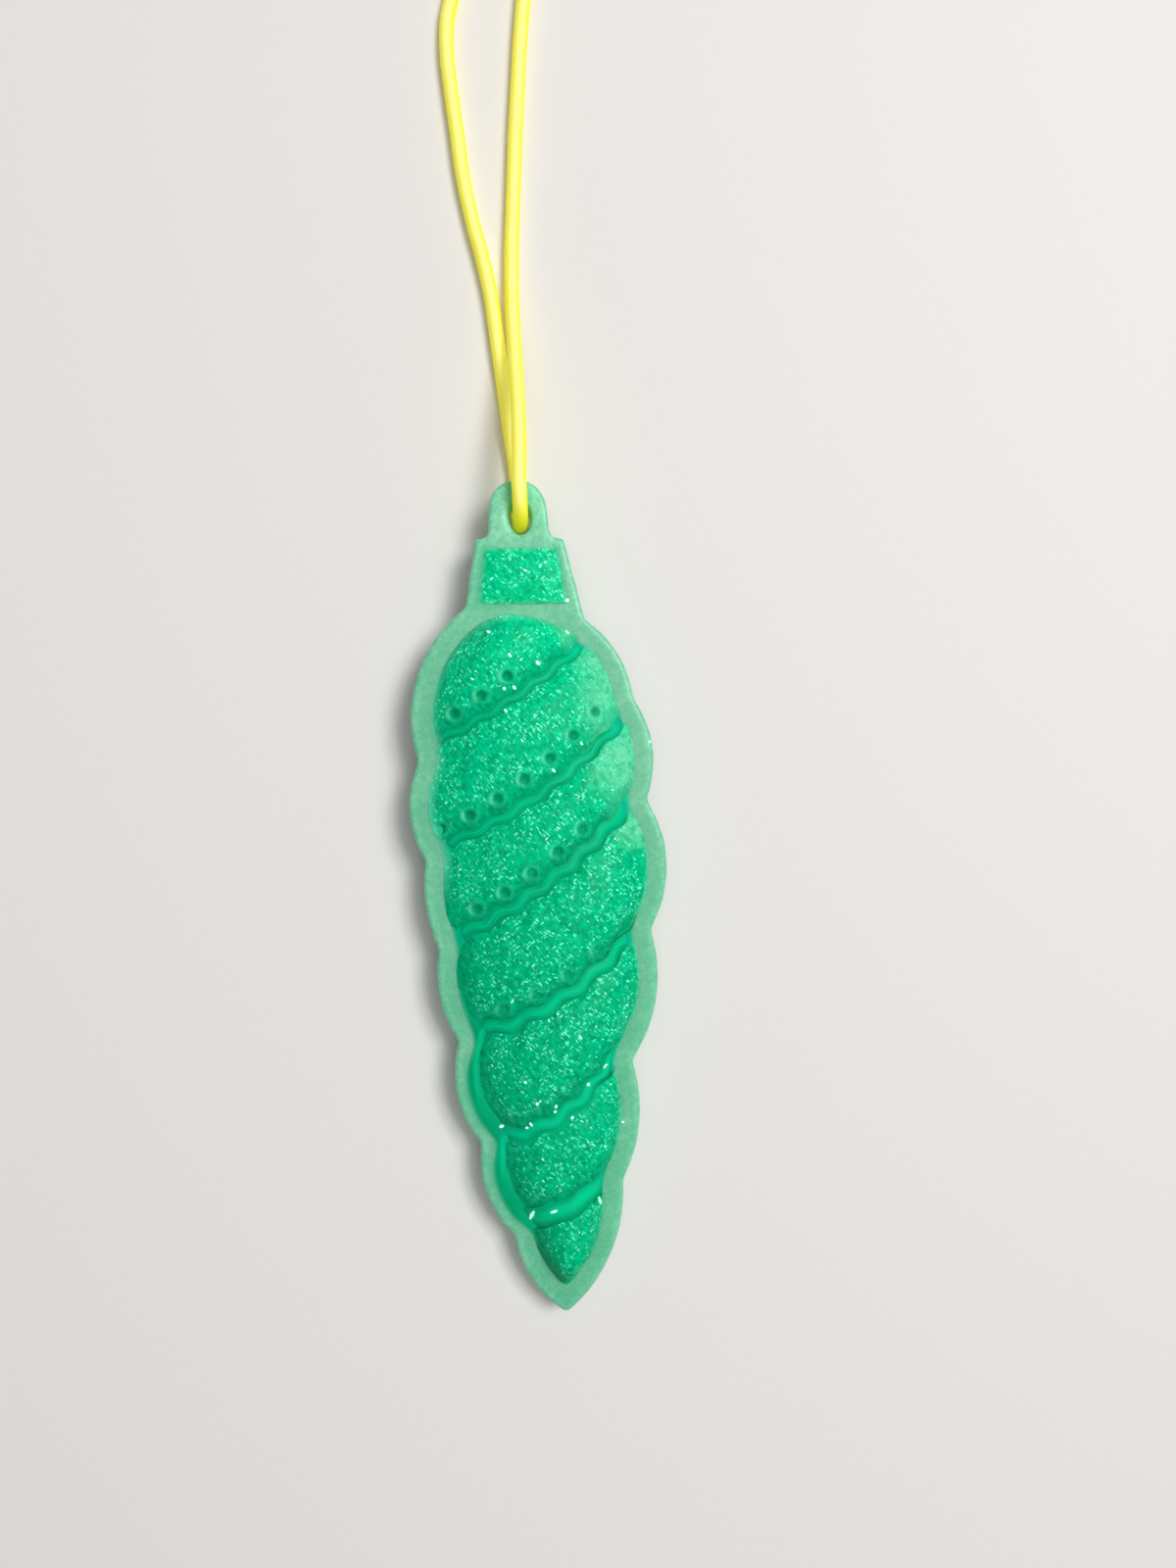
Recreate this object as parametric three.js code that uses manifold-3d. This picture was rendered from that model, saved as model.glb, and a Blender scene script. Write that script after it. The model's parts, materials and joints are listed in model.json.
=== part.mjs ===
// A cast drop ornament with a spiral relief and a hanging loop, lying on its back.
// A pale backing pour carries a clear green bed with six wavy ribbons, and seven domed
// glitter lobes lie between the ribbons. A cord is threaded through the tab and knotted.
// Millimetres, +Z up: the flat back is down, the relief faces up and the tab points along +Y.
// The origin is the middle of the casting's box, on the surface that it lies on.

import * as THREE from 'three';
import { mergeVertices } from 'three/addons/utils/BufferGeometryUtils.js';
import Module from 'manifold-3d';

const wasm = await Module();
wasm.setup();

// Backing plate, measured in its own plane with the tip at y = 0
const plateThickness = 4.0;
const plateEdgeRadius = 0.5;
const rimWidth = 2.35;
const tip = [0.1, -0.2];
const tipSoftness = 0.6;
const valleySoftness = 0.6;

// Scalloped sides, from the tip up: where each bulge ends and how far it rises over its chord
const rightBulges = [
  { end: [7.75, 15.4], rise: 2.15 },
  { end: [9.65, 29.9], rise: 1.5 },
  { end: [12.75, 45.6], rise: 1.9 },
  { end: [13.1, 61.3], rise: 2.25 },
  { end: [12.2, 73.5], rise: 1.55 },
  { end: [6.85, 83.2], rise: 1.2 },
];
const leftBulges = [
  { end: [-5.65, 9.9], rise: 1.25 },
  { end: [-8.95, 21.3], rise: 1.5 },
  { end: [-10.9, 33.7], rise: 1.65 },
  { end: [-12.65, 44.8], rise: 1.15 },
  { end: [-13.6, 55.5], rise: 0.8 },
  { end: [-13.75, 67.3], rise: 1.5 },
  { end: [-7.25, 85.1], rise: 3.1 },
];

// Neck and tab
const neckTopRight = [4.85, 93.0];
const neckTopLeft = [-5.6, 93.2];
const shoulderSoftness = 0.5;
const tabX = -0.4;
const tabTop = 100;
const tabRadius = 3.45;
const tabFootHalf = 3.7;
const tabFootFillet = 0.9;

// Cord hole, an upright oval
const holeX = -0.13;
const holeWidth = 2.6;
const holeLength = 3.8;
const barHeight = 2.67;

// Layers over the plate
const pourGap = 0.3;
const bedThickness = 0.5;
const bedEdgeRadius = 0.25;
const bedTopRise = 1.9;
const lobeWall = 0.5;
const bodyCrown = 1.3;
const lobeCrown = 1.0;
const fullCrownWidth = 22;
const laneGap = 0.3;

// Wavy ribbons, from the tip up: their ends beyond the bed, how far each hangs below its chord,
// its width, and its waves: their height and pitch, the place of the first one, and how many
// of them carry an eyelet
const ribbons = [
  { left: [-5.0, 11.6], right: [8.0, 17.5], sag: 0.7, width: 2.2, wave: 0.15, pitch: 4.1, first: 2.4, eyelets: 0 },
  { left: [-8.2, 22.1], right: [10.0, 33.8], sag: 2.9, width: 1.5, wave: 0.25, pitch: 4.0, first: 4.4, eyelets: 3 },
  { left: [-10.2, 34.7], right: [12.8, 47.6], sag: 2.6, width: 1.4, wave: 0.25, pitch: 4.6, first: 5.5, eyelets: 4 },
  { left: [-11.8, 45.9], right: [13.4, 63.2], sag: 2.0, width: 1.3, wave: 0.3, pitch: 4.0, first: 5.2, eyelets: 5 },
  { left: [-12.6, 57.1], right: [12.6, 72.8], sag: 2.3, width: 1.3, wave: 0.35, pitch: 4.0, first: 1.8, eyelets: 7 },
  { left: [-12.6, 69.2], right: [9.0, 82.3], sag: 1.35, width: 1.3, wave: 0.35, pitch: 3.85, first: 4.7, eyelets: 3 },
];
const ribbonEndGap = 0.15;
const eyeletInset = 1.35;
const eyeletRadius = 0.75;
const eyeletDepth = 0.6;

// Smooth ledge left of each lobe, from the tip up, with the share of it that carries a raised band
const leftLedges = [
  { width: 1.1, band: 0.5 }, { width: 1.5, band: 0.85 }, { width: 1.5, band: 0.9 },
  { width: 1.2, band: 0.9 }, { width: 0.6, band: 0 }, { width: 0.5, band: 0 }, { width: 0.5, band: 0 },
];
const ledgeBandEdge = 0.15;
const ledgeBandFall = 0.35;
const lobeEdgeGap = 0.2;
const lobeOvershoot = 0.6;
const tipLobeWidth = 0.8;
const tipLobeY = 4.0;

// Glitter panel on the neck
const capCorners = { lower: [[-5.75, 85.4], [4.9, 85.0]], upper: [[-4.7, 92.1], [4.1, 91.8]] };
const capWall = 0.9;
const capCrown = 0.5;

// Cord and its loop
const cordRadius = 0.9;
const bendRadius = 3.7;
const bendLift = 12;
const bendSteps = 9;
const knotGap = 0.3;

// The strands from the bend to the knot: sideways from the hole, up from the bar, above the surface
const frontStrand = [
  [0.25, 4.0, 7.6], [0.45, 8.5, 6.35], [0.55, 13, 4.9], [0.6, 17.5, 3.45], [0.65, 22, 2.15],
  [0.8, 26.5, 1.3], [1.05, 31, 0.95], [1.5, 36, 0.9], [1.9, 40.5, 0.9], [2.35, 45.5, 0.9],
  [2.95, 51, 0.9], [3.5, 56, 0.9], [4.2, 61.3, 0.9], [4.85, 66, 0.9], [5.15, 70.5, 0.9],
  [4.7, 75, 0.9], [3.4, 79, 1.1], [1.9, 82.5, 1.9], [1.15, 86, 2.6], [1.15, 88, 2.6],
];
const rearStrand = [
  [0, 3.8, 0.9], [-0.4, 8, 0.9], [-0.75, 12.3, 0.9], [-1.1, 16.5, 0.9], [-1.45, 21, 0.9],
  [-1.85, 25.5, 0.9], [-2.6, 30, 0.9], [-3.6, 34.8, 0.9], [-4.4, 40, 0.9], [-4.8, 45, 0.9],
  [-5.2, 50, 0.9], [-5.5, 55, 0.9], [-5.25, 59, 0.9], [-4.5, 62, 0.9], [-3.7, 65.5, 0.9],
  [-3.0, 70, 0.9], [-2.35, 75, 0.9], [-1.75, 79, 1.1], [-1.3, 82.5, 1.9], [-1.15, 86, 2.6],
  [-1.15, 88, 2.6],
];

// Knot: wraps of cord round the two strands, and two short tails
const knotWraps = [{ y: 2.0, tilt: 14 }, { y: 4.0, tilt: 14 }, { y: 3.3, tilt: -32 }];
const wrapHalfWidth = 2.75;
const wrapHalfHeight = 1.7;
const knotCoreY = 3.1;
const knotCoreHalf = 2.9;
const tailRoute = [[1.15, 0, 2.6], [1.15, 5.5, 2.6], [1.7, 9, 1.5], [2.6, 12.5, 0.9], [3.0, 15, 0.9]];

// Mesh fineness
const outlineStep = 1.7;
const outlineTurn = 0.3;
const shortestEdge = 0.15;
const waveStep = 0.72;
const lobeRows = 6;
const ribbonSides = 4;
const cordSides = 8;

// Surfaces, as colour, roughness and metalness
const palePour = new THREE.MeshStandardMaterial({ color: 0x78d8a8, roughness: 0.38, metalness: 0 });
const clearGreenPour = new THREE.MeshStandardMaterial({ color: 0x00ab78, roughness: 0.25, metalness: 0 });
const glitterPour = new THREE.MeshStandardMaterial({ color: 0x00bd84, roughness: 0.3, metalness: 0.1 });
const satinCord = new THREE.MeshStandardMaterial({ color: 0xfdf81e, roughness: 0.45, metalness: 0 });

// Places that follow from the sizes above
const barY = tabTop - barHeight / 2;
const holeY = tabTop - barHeight - holeLength / 2;
const bedBase = plateThickness + pourGap;
const bedTop = bedBase + bedThickness;
const lobeBase = bedTop + pourGap;
const hingeHeight = bendRadius + cordRadius;
const barReach = Math.hypot(barY, plateThickness / 2);
const restPitch = Math.asin(hingeHeight / barReach) - Math.atan2(plateThickness / 2, barY);
const hingeY = barReach * Math.cos(Math.asin(hingeHeight / barReach));

const mix = THREE.MathUtils.lerp;
const toVector = ([x, y]) => new THREE.Vector2(x, y);

// Point at share t of an arc that rises to the right of the way from one point to the other
function arcPoint(from, to, rise, t) {
  const chord = to.clone().sub(from);
  const length = chord.length();
  if (!rise) return from.clone().lerp(to, t);
  const radius = (length * length / 4 + rise * rise) / (2 * rise);
  const angle = Math.asin(Math.min(1, length / (2 * radius))) * (2 * t - 1);
  const along = length / 2 + radius * Math.sin(angle);
  const out = radius * Math.cos(angle) - radius + rise;
  const forward = chord.divideScalar(length);
  const right = new THREE.Vector2(forward.y, -forward.x);
  return from.clone().addScaledVector(forward, along).addScaledVector(right, out);
}

// Rise of an arc of a known radius over a chord
function riseOver(radius, length) {
  return radius - Math.sqrt(Math.max(0, radius * radius - length * length / 4));
}

// Radius of the bulge whose ends and rise are known
function bulgeRadius(from, to, rise) {
  const half = from.distanceTo(to) / 2;
  return (half * half + rise * rise) / (2 * rise);
}

// Closed outline through edges, with each corner softened over a set distance
function outlinePoints(edges) {
  const runs = edges.map((edge, i) => {
    const length = edge.from.distanceTo(edge.to);
    const start = edges.at(i - 1).soften / length;
    const end = 1 - edge.soften / length;
    const turn = 4 * Math.atan(2 * Math.abs(edge.rise) / length);
    const steps = Math.max(1, Math.ceil(turn / outlineTurn), edge.rise ? Math.ceil(length / outlineStep) : 1);
    return Array.from({ length: steps + 1 }, (_, k) =>
      arcPoint(edge.from, edge.to, edge.rise, mix(start, end, k / steps)));
  });
  return runs.flatMap((run, i) => {
    const next = runs[(i + 1) % runs.length][0];
    const corner = new THREE.QuadraticBezierCurve(run.at(-1), edges[i].to, next);
    return [...run, ...corner.getPoints(3).slice(1, -1)];
  });
}

// The two scalloped sides as edges, right side up and left side down
function scallopEdges() {
  const side = (bulges) => bulges.map((bulge, i) => ({
    from: toVector(i ? bulges[i - 1].end : tip),
    to: toVector(bulge.end),
    rise: bulge.rise,
    soften: valleySoftness,
  }));
  const down = side(leftBulges).reverse().map((edge) => ({ ...edge, from: edge.to, to: edge.from }));
  down.at(-1).soften = tipSoftness;
  return { up: side(rightBulges), down };
}

// Straight edges through a list of points, each with the softness of its far corner
function straightEdges(corners) {
  return corners.slice(1).map((corner, i) => ({
    from: toVector(corners[i].at), to: toVector(corner.at), rise: 0, soften: corner.soften,
  }));
}

// Outline of the whole plate, with neck and tab
function plateOutline() {
  const { up, down } = scallopEdges();
  const archY = tabTop - tabRadius;
  const rightNeck = straightEdges([
    { at: rightBulges.at(-1).end },
    { at: neckTopRight, soften: shoulderSoftness },
    { at: [tabX + tabFootHalf, neckTopRight[1]], soften: tabFootFillet },
    { at: [tabX + tabRadius, archY], soften: 0.2 },
  ]);
  const arch = {
    from: new THREE.Vector2(tabX + tabRadius, archY),
    to: new THREE.Vector2(tabX - tabRadius, archY),
    rise: tabRadius, soften: 0.2,
  };
  const leftNeck = straightEdges([
    { at: [tabX - tabRadius, archY] },
    { at: [tabX - tabFootHalf, neckTopLeft[1]], soften: tabFootFillet },
    { at: neckTopLeft, soften: shoulderSoftness },
    { at: leftBulges.at(-1).end, soften: valleySoftness },
  ]);
  return outlinePoints([...up, ...rightNeck, arch, ...leftNeck, ...down]);
}

// Outline of the body alone, closed over the top of the relief
function bodyOutline() {
  const { up, down } = scallopEdges();
  const top = {
    from: up.at(-1).to, to: down[0].from, rise: bedTopRise, soften: valleySoftness,
  };
  return outlinePoints([...up, top, ...down]);
}

// Distance from a point to a closed outline
function distanceTo(outline, point) {
  const nearest = new THREE.Vector3();
  const spot = new THREE.Vector3(point.x, point.y, 0);
  return Math.min(...outline.map((a, i) => {
    const b = outline[(i + 1) % outline.length];
    const line = new THREE.Line3(new THREE.Vector3(a.x, a.y, 0), new THREE.Vector3(b.x, b.y, 0));
    return line.closestPointToPoint(spot, true, nearest).distanceTo(spot);
  }));
}

// The outline moved inwards, without the points that end up too near another stretch
function insetOutline(outline, distance) {
  const moved = outline.map((point, i) => {
    const along = outline[(i + 1) % outline.length].clone().sub(outline.at(i - 1)).normalize();
    return point.clone().add(new THREE.Vector2(-along.y, along.x).multiplyScalar(distance));
  });
  const clear = moved.filter((point) => distanceTo(outline, point) > distance - 0.02);
  return clear.filter((point, i) => point.distanceTo(clear.at(i - 1)) > shortestEdge);
}

// A triangle mesh as a solid for cutting and joining
function toSolid(geometry) {
  const bare = geometry.clone();
  bare.deleteAttribute('normal');
  bare.deleteAttribute('uv');
  const merged = mergeVertices(bare, 1e-4);
  return new wasm.Manifold(new wasm.Mesh({
    numProp: 3,
    vertProperties: new Float32Array(merged.attributes.position.array),
    triVerts: new Uint32Array(merged.index.array),
  }));
}

// A solid as a triangle mesh again
function toGeometry(solid) {
  const mesh = solid.getMesh();
  const geometry = new THREE.BufferGeometry();
  geometry.setAttribute('position', new THREE.BufferAttribute(new Float32Array(mesh.vertProperties), 3));
  geometry.setIndex(new THREE.BufferAttribute(new Uint32Array(mesh.triVerts), 1));
  return geometry;
}

// A flat plate standing on a level, its upper edge rounded
function plateSolid(outline, level, thickness, edgeRadius, hole) {
  const shape = new THREE.Shape(outline);
  if (hole) shape.holes.push(hole);
  const plate = new THREE.ExtrudeGeometry(shape, {
    depth: thickness, curveSegments: 10, bevelSegments: 2,
    bevelThickness: edgeRadius, bevelSize: edgeRadius, bevelOffset: -edgeRadius,
  });
  plate.translate(0, 0, level - edgeRadius);
  const reach = 4 * tabTop;
  const below = new THREE.BoxGeometry(reach, reach, reach).translate(0, 0, level - reach / 2);
  return toSolid(plate).subtract(toSolid(below));
}

// An upright column through all layers, to trim a piece to an outline
function prismSolid(outline) {
  const column = new THREE.ExtrudeGeometry(new THREE.Shape(outline), { depth: tabTop, bevelEnabled: false });
  return toSolid(column);
}

// A closed solid through rings of equal point count, each ring clockwise seen from the last one
function loft(rings) {
  const count = rings[0].length;
  const index = [];
  for (let r = 0; r + 1 < rings.length; r++) {
    for (let i = 0; i < count; i++) {
      const a = r * count + i;
      const b = r * count + (i + 1) % count;
      index.push(a, a + count, b + count, a, b + count, b);
    }
  }
  const last = (rings.length - 1) * count;
  for (let i = 1; i + 1 < count; i++) {
    index.push(0, i, i + 1, last, last + i + 1, last + i);
  }
  const positions = rings.flat().flatMap((p) => [p.x, p.y, p.z]);
  const geometry = new THREE.BufferGeometry();
  geometry.setAttribute('position', new THREE.Float32BufferAttribute(positions, 3));
  geometry.setIndex(index);
  return geometry;
}

// Height share of a swelling from edge to edge, rounder for a low power
function swell(share, power) {
  return Math.sqrt(Math.max(0, 1 - Math.abs(2 * share - 1) ** power));
}

// A domed pad between a lower and an upper edge, both run from left to right
function padPoint(pad, s, t) {
  const cornerLL = pad.lower(0);
  const cornerUL = pad.upper(0);
  const cornerLR = pad.lower(1);
  const cornerUR = pad.upper(1);
  const left = arcPoint(cornerUL, cornerLL, pad.leftRise, 1 - t);
  const right = arcPoint(cornerLR, cornerUR, pad.rightRise, t);
  const across = left.multiplyScalar(1 - s).addScaledVector(right, s);
  const along = pad.lower(s).multiplyScalar(1 - t).addScaledVector(pad.upper(s), t);
  const corners = cornerLL.multiplyScalar((1 - s) * (1 - t)).addScaledVector(cornerLR, s * (1 - t))
    .addScaledVector(cornerUL, (1 - s) * t).addScaledVector(cornerUR, s * t);
  return across.add(along).sub(corners);
}

function padHeight(pad, s, t) {
  return pad.wall + swell(s, pad.sidePower) * (pad.crown + pad.pillow * swell(t, pad.lanePower));
}

function padGeometry(pad, base, rows) {
  const steps = Math.round(Math.max(pad.lower(0).distanceTo(pad.lower(1)),
    pad.upper(0).distanceTo(pad.upper(1))) / pad.step);
  const rings = [];
  for (let i = 0; i <= steps; i++) {
    const s = i / steps;
    const ring = [];
    for (let j = 0; j <= rows; j++) {
      const t = 0.5 - 0.5 * Math.cos(Math.PI * j / rows);
      const flat = padPoint(pad, s, t);
      if (j === 0) ring.push(new THREE.Vector3(flat.x, flat.y, base));
      ring.push(new THREE.Vector3(flat.x, flat.y, base + padHeight(pad, s, t)));
      if (j === rows) ring.push(new THREE.Vector3(flat.x, flat.y, base));
    }
    rings.push(ring);
  }
  return loft(rings);
}

// Centre lines of the ribbons, from valley to valley, with where they enter and leave the bed
function ribbonLines(outline) {
  return ribbons.map((ribbon) => {
    const left = toVector(ribbon.left);
    const right = toVector(ribbon.right);
    const middle = left.clone().lerp(right, 0.5);
    middle.y -= 2 * ribbon.sag;
    const curve = new THREE.QuadraticBezierCurve(left, middle, right);
    const inside = (u) => distanceTo(outline, curve.getPointAt(u)) > rimWidth + ribbonEndGap;
    let start = 0;
    while (!inside(start)) start += 0.005;
    let end = 1;
    while (!inside(end)) end -= 0.005;
    return { ...ribbon, curve, start, end, length: curve.getLength() };
  });
}

// Point beside a ribbon's waving centre line, positive towards the tab
function besideRibbon(line, u, offset) {
  const tangent = line.curve.getTangentAt(u);
  const wave = -line.wave * Math.cos(2 * Math.PI * (u * line.length - line.first) / line.pitch);
  const normal = new THREE.Vector2(-tangent.y, tangent.x);
  return line.curve.getPointAt(u).addScaledVector(normal, wave + offset);
}

// A round-backed strip on the bed, from its place beside a centre line, its height and its width
function stripGeometry({ place, height, width, steps }) {
  const foot = bedTop - bedThickness / 2;
  const rings = [];
  for (let i = 0; i <= steps; i++) {
    const s = i / steps;
    const ring = [];
    for (let j = 0; j <= ribbonSides; j++) {
      const angle = Math.PI * j / ribbonSides;
      const flat = place(s, -Math.cos(angle) * width / 2);
      if (j === 0) ring.push(new THREE.Vector3(flat.x, flat.y, foot));
      const back = bedTop + height(s) - width / 4 * (1 - Math.sin(angle));
      ring.push(new THREE.Vector3(flat.x, flat.y, back));
      if (j === ribbonSides) ring.push(new THREE.Vector3(flat.x, flat.y, foot));
    }
    rings.push(ring);
  }
  return loft(rings);
}

// One ribbon, rising and falling with the body's crown
function ribbonGeometry(line) {
  const crown = bodyCrown * Math.min(1, line.length / fullCrownWidth);
  return stripGeometry({
    place: (s, offset) => besideRibbon(line, mix(line.start, line.end, s), offset),
    height: (s) => pourGap + lobeWall + crown * swell(s, 2),
    width: line.width,
    steps: Math.round((line.end - line.start) * line.length / waveStep),
  });
}

// The band that runs on from a ribbon's left end, down the ledge beside the lobe below it
function ledgeBandGeometry(pad, ledge) {
  const width = ledge.width - ledgeBandEdge - laneGap;
  const top = pad.upper(0);
  const foot = pad.lower(0);
  const outward = -(laneGap + width / 2);
  return stripGeometry({
    place: (s, offset) => {
      const t = s * ledge.band;
      const ahead = arcPoint(top, foot, pad.leftRise, t + 0.01);
      ahead.sub(arcPoint(top, foot, pad.leftRise, t - 0.01)).normalize();
      const side = new THREE.Vector2(-ahead.y, ahead.x);
      return arcPoint(top, foot, pad.leftRise, t).addScaledVector(side, outward + offset);
    },
    height: (s) => pourGap + lobeWall - ledgeBandFall * s,
    width,
    steps: 12,
  });
}

// The lobe that lies above ribbon number index - 1 and below ribbon number index
function lobePad(lines, index) {
  const below = lines[index - 1];
  const above = lines[index];
  const leftLedge = leftLedges[index].width;
  const along = (line, s) => mix(
    line.start + (leftLedge - ribbonEndGap) / line.length, line.end + lobeOvershoot / line.length, s);
  const lower = below
    ? (s) => besideRibbon(below, along(below, s), below.width / 2 + laneGap)
    : (s) => new THREE.Vector2(tip[0] + (s - 0.5) * tipLobeWidth, tipLobeY);
  const upper = above
    ? (s) => besideRibbon(above, along(above, s), -above.width / 2 - laneGap)
    : reliefTopEdge(below, along);
  const radius = (bulges) => {
    const bulge = bulges[index];
    if (!bulge) return Infinity;
    const from = toVector(index ? bulges[index - 1].end : tip);
    return bulgeRadius(from, toVector(bulge.end), bulge.rise);
  };
  const sideRise = (bulges, inset, a, b) => {
    const outer = radius(bulges);
    return Number.isFinite(outer) ? riseOver(outer - inset, a.distanceTo(b)) : 0;
  };
  const fullness = Math.min(1, (below ?? above).length / fullCrownWidth);
  return {
    lower, upper, below,
    leftRise: sideRise(leftBulges, rimWidth + leftLedge, lower(0), upper(0)),
    rightRise: sideRise(rightBulges, rimWidth, lower(1), upper(1)),
    wall: lobeWall, crown: bodyCrown * fullness, pillow: lobeCrown * fullness,
    sidePower: 2, lanePower: 3, step: waveStep,
  };
}

// Upper edge of the top lobe, a shallow arch inside the rim
function reliefTopEdge(below, along) {
  const right = toVector(rightBulges.at(-1).end);
  const left = toVector(leftBulges.at(-1).end);
  const inset = rimWidth + leftLedges.at(-1).width;
  const from = left.clone().add(new THREE.Vector2(inset, -inset / 2));
  const to = besideRibbon(below, along(below, 1), below.width / 2 + laneGap);
  to.add(right.clone().sub(toVector(rightBulges.at(-2).end)).setLength(1.4));
  return (s) => arcPoint(to, from, bedTopRise / 2, 1 - s);
}

// Round dimples in a row along a lobe's lower edge
function cutEyelets(solid, pad) {
  const line = pad.below;
  if (!line) return solid;
  const offset = line.width / 2 + laneGap + eyeletInset;
  for (let k = 0; k < line.eyelets; k++) {
    const u = (line.first + k * line.pitch) / line.length;
    const s = (u - line.start) / (line.end - line.start);
    const spot = besideRibbon(line, u, offset);
    const lane = pad.upper(s).distanceTo(pad.lower(s));
    const surface = lobeBase + padHeight(pad, s, eyeletInset / lane);
    const ball = new THREE.SphereGeometry(eyeletRadius, 10, 5).rotateX(Math.PI / 2);
    ball.translate(spot.x, spot.y, surface + eyeletRadius - eyeletDepth);
    solid = solid.subtract(toSolid(ball));
  }
  return solid;
}

// Pieces of the casting
function backingGeometry() {
  const hole = new THREE.Path();
  hole.absellipse(holeX, holeY, holeWidth / 2, holeLength / 2, 0, 2 * Math.PI, true);
  return toGeometry(plateSolid(plateOutline(), 0, plateThickness, plateEdgeRadius, hole));
}

function bedGeometry(outline, lines) {
  const edge = insetOutline(outline, rimWidth);
  const bed = plateSolid(edge, bedBase, bedThickness, bedEdgeRadius);
  const strips = lines.map(ribbonGeometry);
  leftLedges.forEach((ledge, i) => {
    if (ledge.band) strips.push(ledgeBandGeometry(lobePad(lines, i), ledge));
  });
  const raised = strips.map(toSolid).reduce((all, strip) => all.add(strip));
  return toGeometry(bed.add(raised.intersect(prismSolid(insetOutline(outline, rimWidth + bedEdgeRadius)))));
}

function lobeGeometry(outline, lines, index) {
  const pad = lobePad(lines, index);
  const within = prismSolid(insetOutline(outline, rimWidth + lobeEdgeGap));
  return toGeometry(cutEyelets(toSolid(padGeometry(pad, lobeBase, lobeRows)).intersect(within), pad));
}

function capGeometry() {
  const edge = ([from, to]) => (s) => toVector(from).lerp(toVector(to), s);
  const pad = {
    lower: edge(capCorners.lower), upper: edge(capCorners.upper), leftRise: 0, rightRise: 0,
    wall: capWall, crown: capCrown / 2, pillow: capCrown / 2, sidePower: 6, lanePower: 6, step: 1.1,
  };
  return padGeometry(pad, bedBase, lobeRows);
}

// A curve whose every interval between two points is one step of a tube
class PointwiseCurve extends THREE.CatmullRomCurve3 {
  getUtoTmapping(u) {
    return u;
  }
}

// A round cord along points
function cordGeometry(points) {
  const section = new THREE.Shape();
  section.absarc(0, 0, cordRadius, 0, 2 * Math.PI);
  return new THREE.ExtrudeGeometry(section, {
    steps: points.length - 1, curveSegments: cordSides / 2, extrudePath: new PointwiseCurve(points),
  });
}

// The cord from the knot down the front strand, round the bar and back up the rear strand
function loopGeometry(hinge) {
  const place = ([x, y, z]) => new THREE.Vector3(hinge.x + x, hinge.y + y, z);
  const bend = Array.from({ length: bendSteps + 1 }, (_, i) => {
    const angle = THREE.MathUtils.degToRad(mix(90 - bendLift, 270, i / bendSteps));
    const y = hinge.y + bendRadius * Math.cos(angle);
    return new THREE.Vector3(hinge.x, y, hinge.z + bendRadius * Math.sin(angle));
  });
  return cordGeometry([...frontStrand.map(place).reverse(), ...bend, ...rearStrand.map(place)]);
}

// The knot, its wraps and the two tails beyond it
function knotGeometry(hinge) {
  const start = hinge.y + frontStrand.at(-1)[1] + knotGap;
  const level = frontStrand.at(-1)[2];
  const strand = (side) => cordGeometry(tailRoute.map(
    ([x, y, z]) => new THREE.Vector3(hinge.x + side * x, start + y, z)));
  const core = new THREE.SphereGeometry(1, 12, 8).scale(wrapHalfWidth, knotCoreHalf, wrapHalfHeight);
  core.translate(hinge.x, start + knotCoreY, level);
  let knot = toSolid(strand(1)).add(toSolid(strand(-1))).add(toSolid(core));
  for (const wrap of knotWraps) {
    const ring = new THREE.TorusGeometry(1, cordRadius / wrapHalfWidth, cordSides, 16);
    ring.rotateX(Math.PI / 2).scale(wrapHalfWidth, wrapHalfWidth, wrapHalfHeight);
    ring.rotateZ(THREE.MathUtils.degToRad(wrap.tilt));
    ring.translate(hinge.x, start + wrap.y, level);
    knot = knot.add(toSolid(ring));
  }
  return toGeometry(knot);
}

// Assembly
function mesh(name, geometry, material) {
  const piece = new THREE.Mesh(geometry, material);
  piece.name = name;
  return piece;
}

const outline = bodyOutline();
const lines = ribbonLines(outline);

const casting = new THREE.Group();
casting.add(mesh('pale_backing', backingGeometry(), palePour));
casting.add(mesh('green_bed', bedGeometry(outline, lines), clearGreenPour));
casting.add(mesh('cap_fill', capGeometry(), glitterPour));
for (let i = 0; i < leftBulges.length; i++) {
  const name = `lobe_${leftBulges.length - i}`;
  casting.add(mesh(name, lobeGeometry(outline, lines, i), glitterPour));
}
casting.rotation.x = restPitch;

const hinge = new THREE.Vector3(holeX, hingeY, hingeHeight);
const loop = new THREE.Group();
loop.add(mesh('loop_cord', loopGeometry(hinge), satinCord));
loop.add(mesh('loop_knot', knotGeometry(hinge), satinCord));

// Bring the middle of the casting's box over the origin
const box = new THREE.Box3().setFromObject(casting, true);
const ornament = new THREE.Group();
ornament.add(casting, loop);
ornament.position.set(-(box.min.x + box.max.x) / 2, -(box.min.y + box.max.y) / 2, -box.min.z);

export default ornament;
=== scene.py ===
"""A cast spiral drop ornament: milky backing, clear green ribbons, glitter lobes and a satin loop.

The casting is worked out in its own plane, in millimetres, with the tip at y = 0 and the back
at z = 0. One matrix then turns it by its resting pitch and takes it into the frame, in metres.
A place in that plane is a complex number, x + y j.
"""

import json
import logging
import math
from collections.abc import Callable, Sequence
from dataclasses import dataclass, field
from enum import Enum
from typing import ClassVar

import bmesh
import bpy
import numpy as np
from bmesh.types import BMEdge, BMesh, BMFace, BMVert
from bpy.types import Node, NodeSocket, NodeTree
from mathutils import Matrix, Vector, noise
from mathutils.bvhtree import BVHTree
from numpy import ndarray


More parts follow.
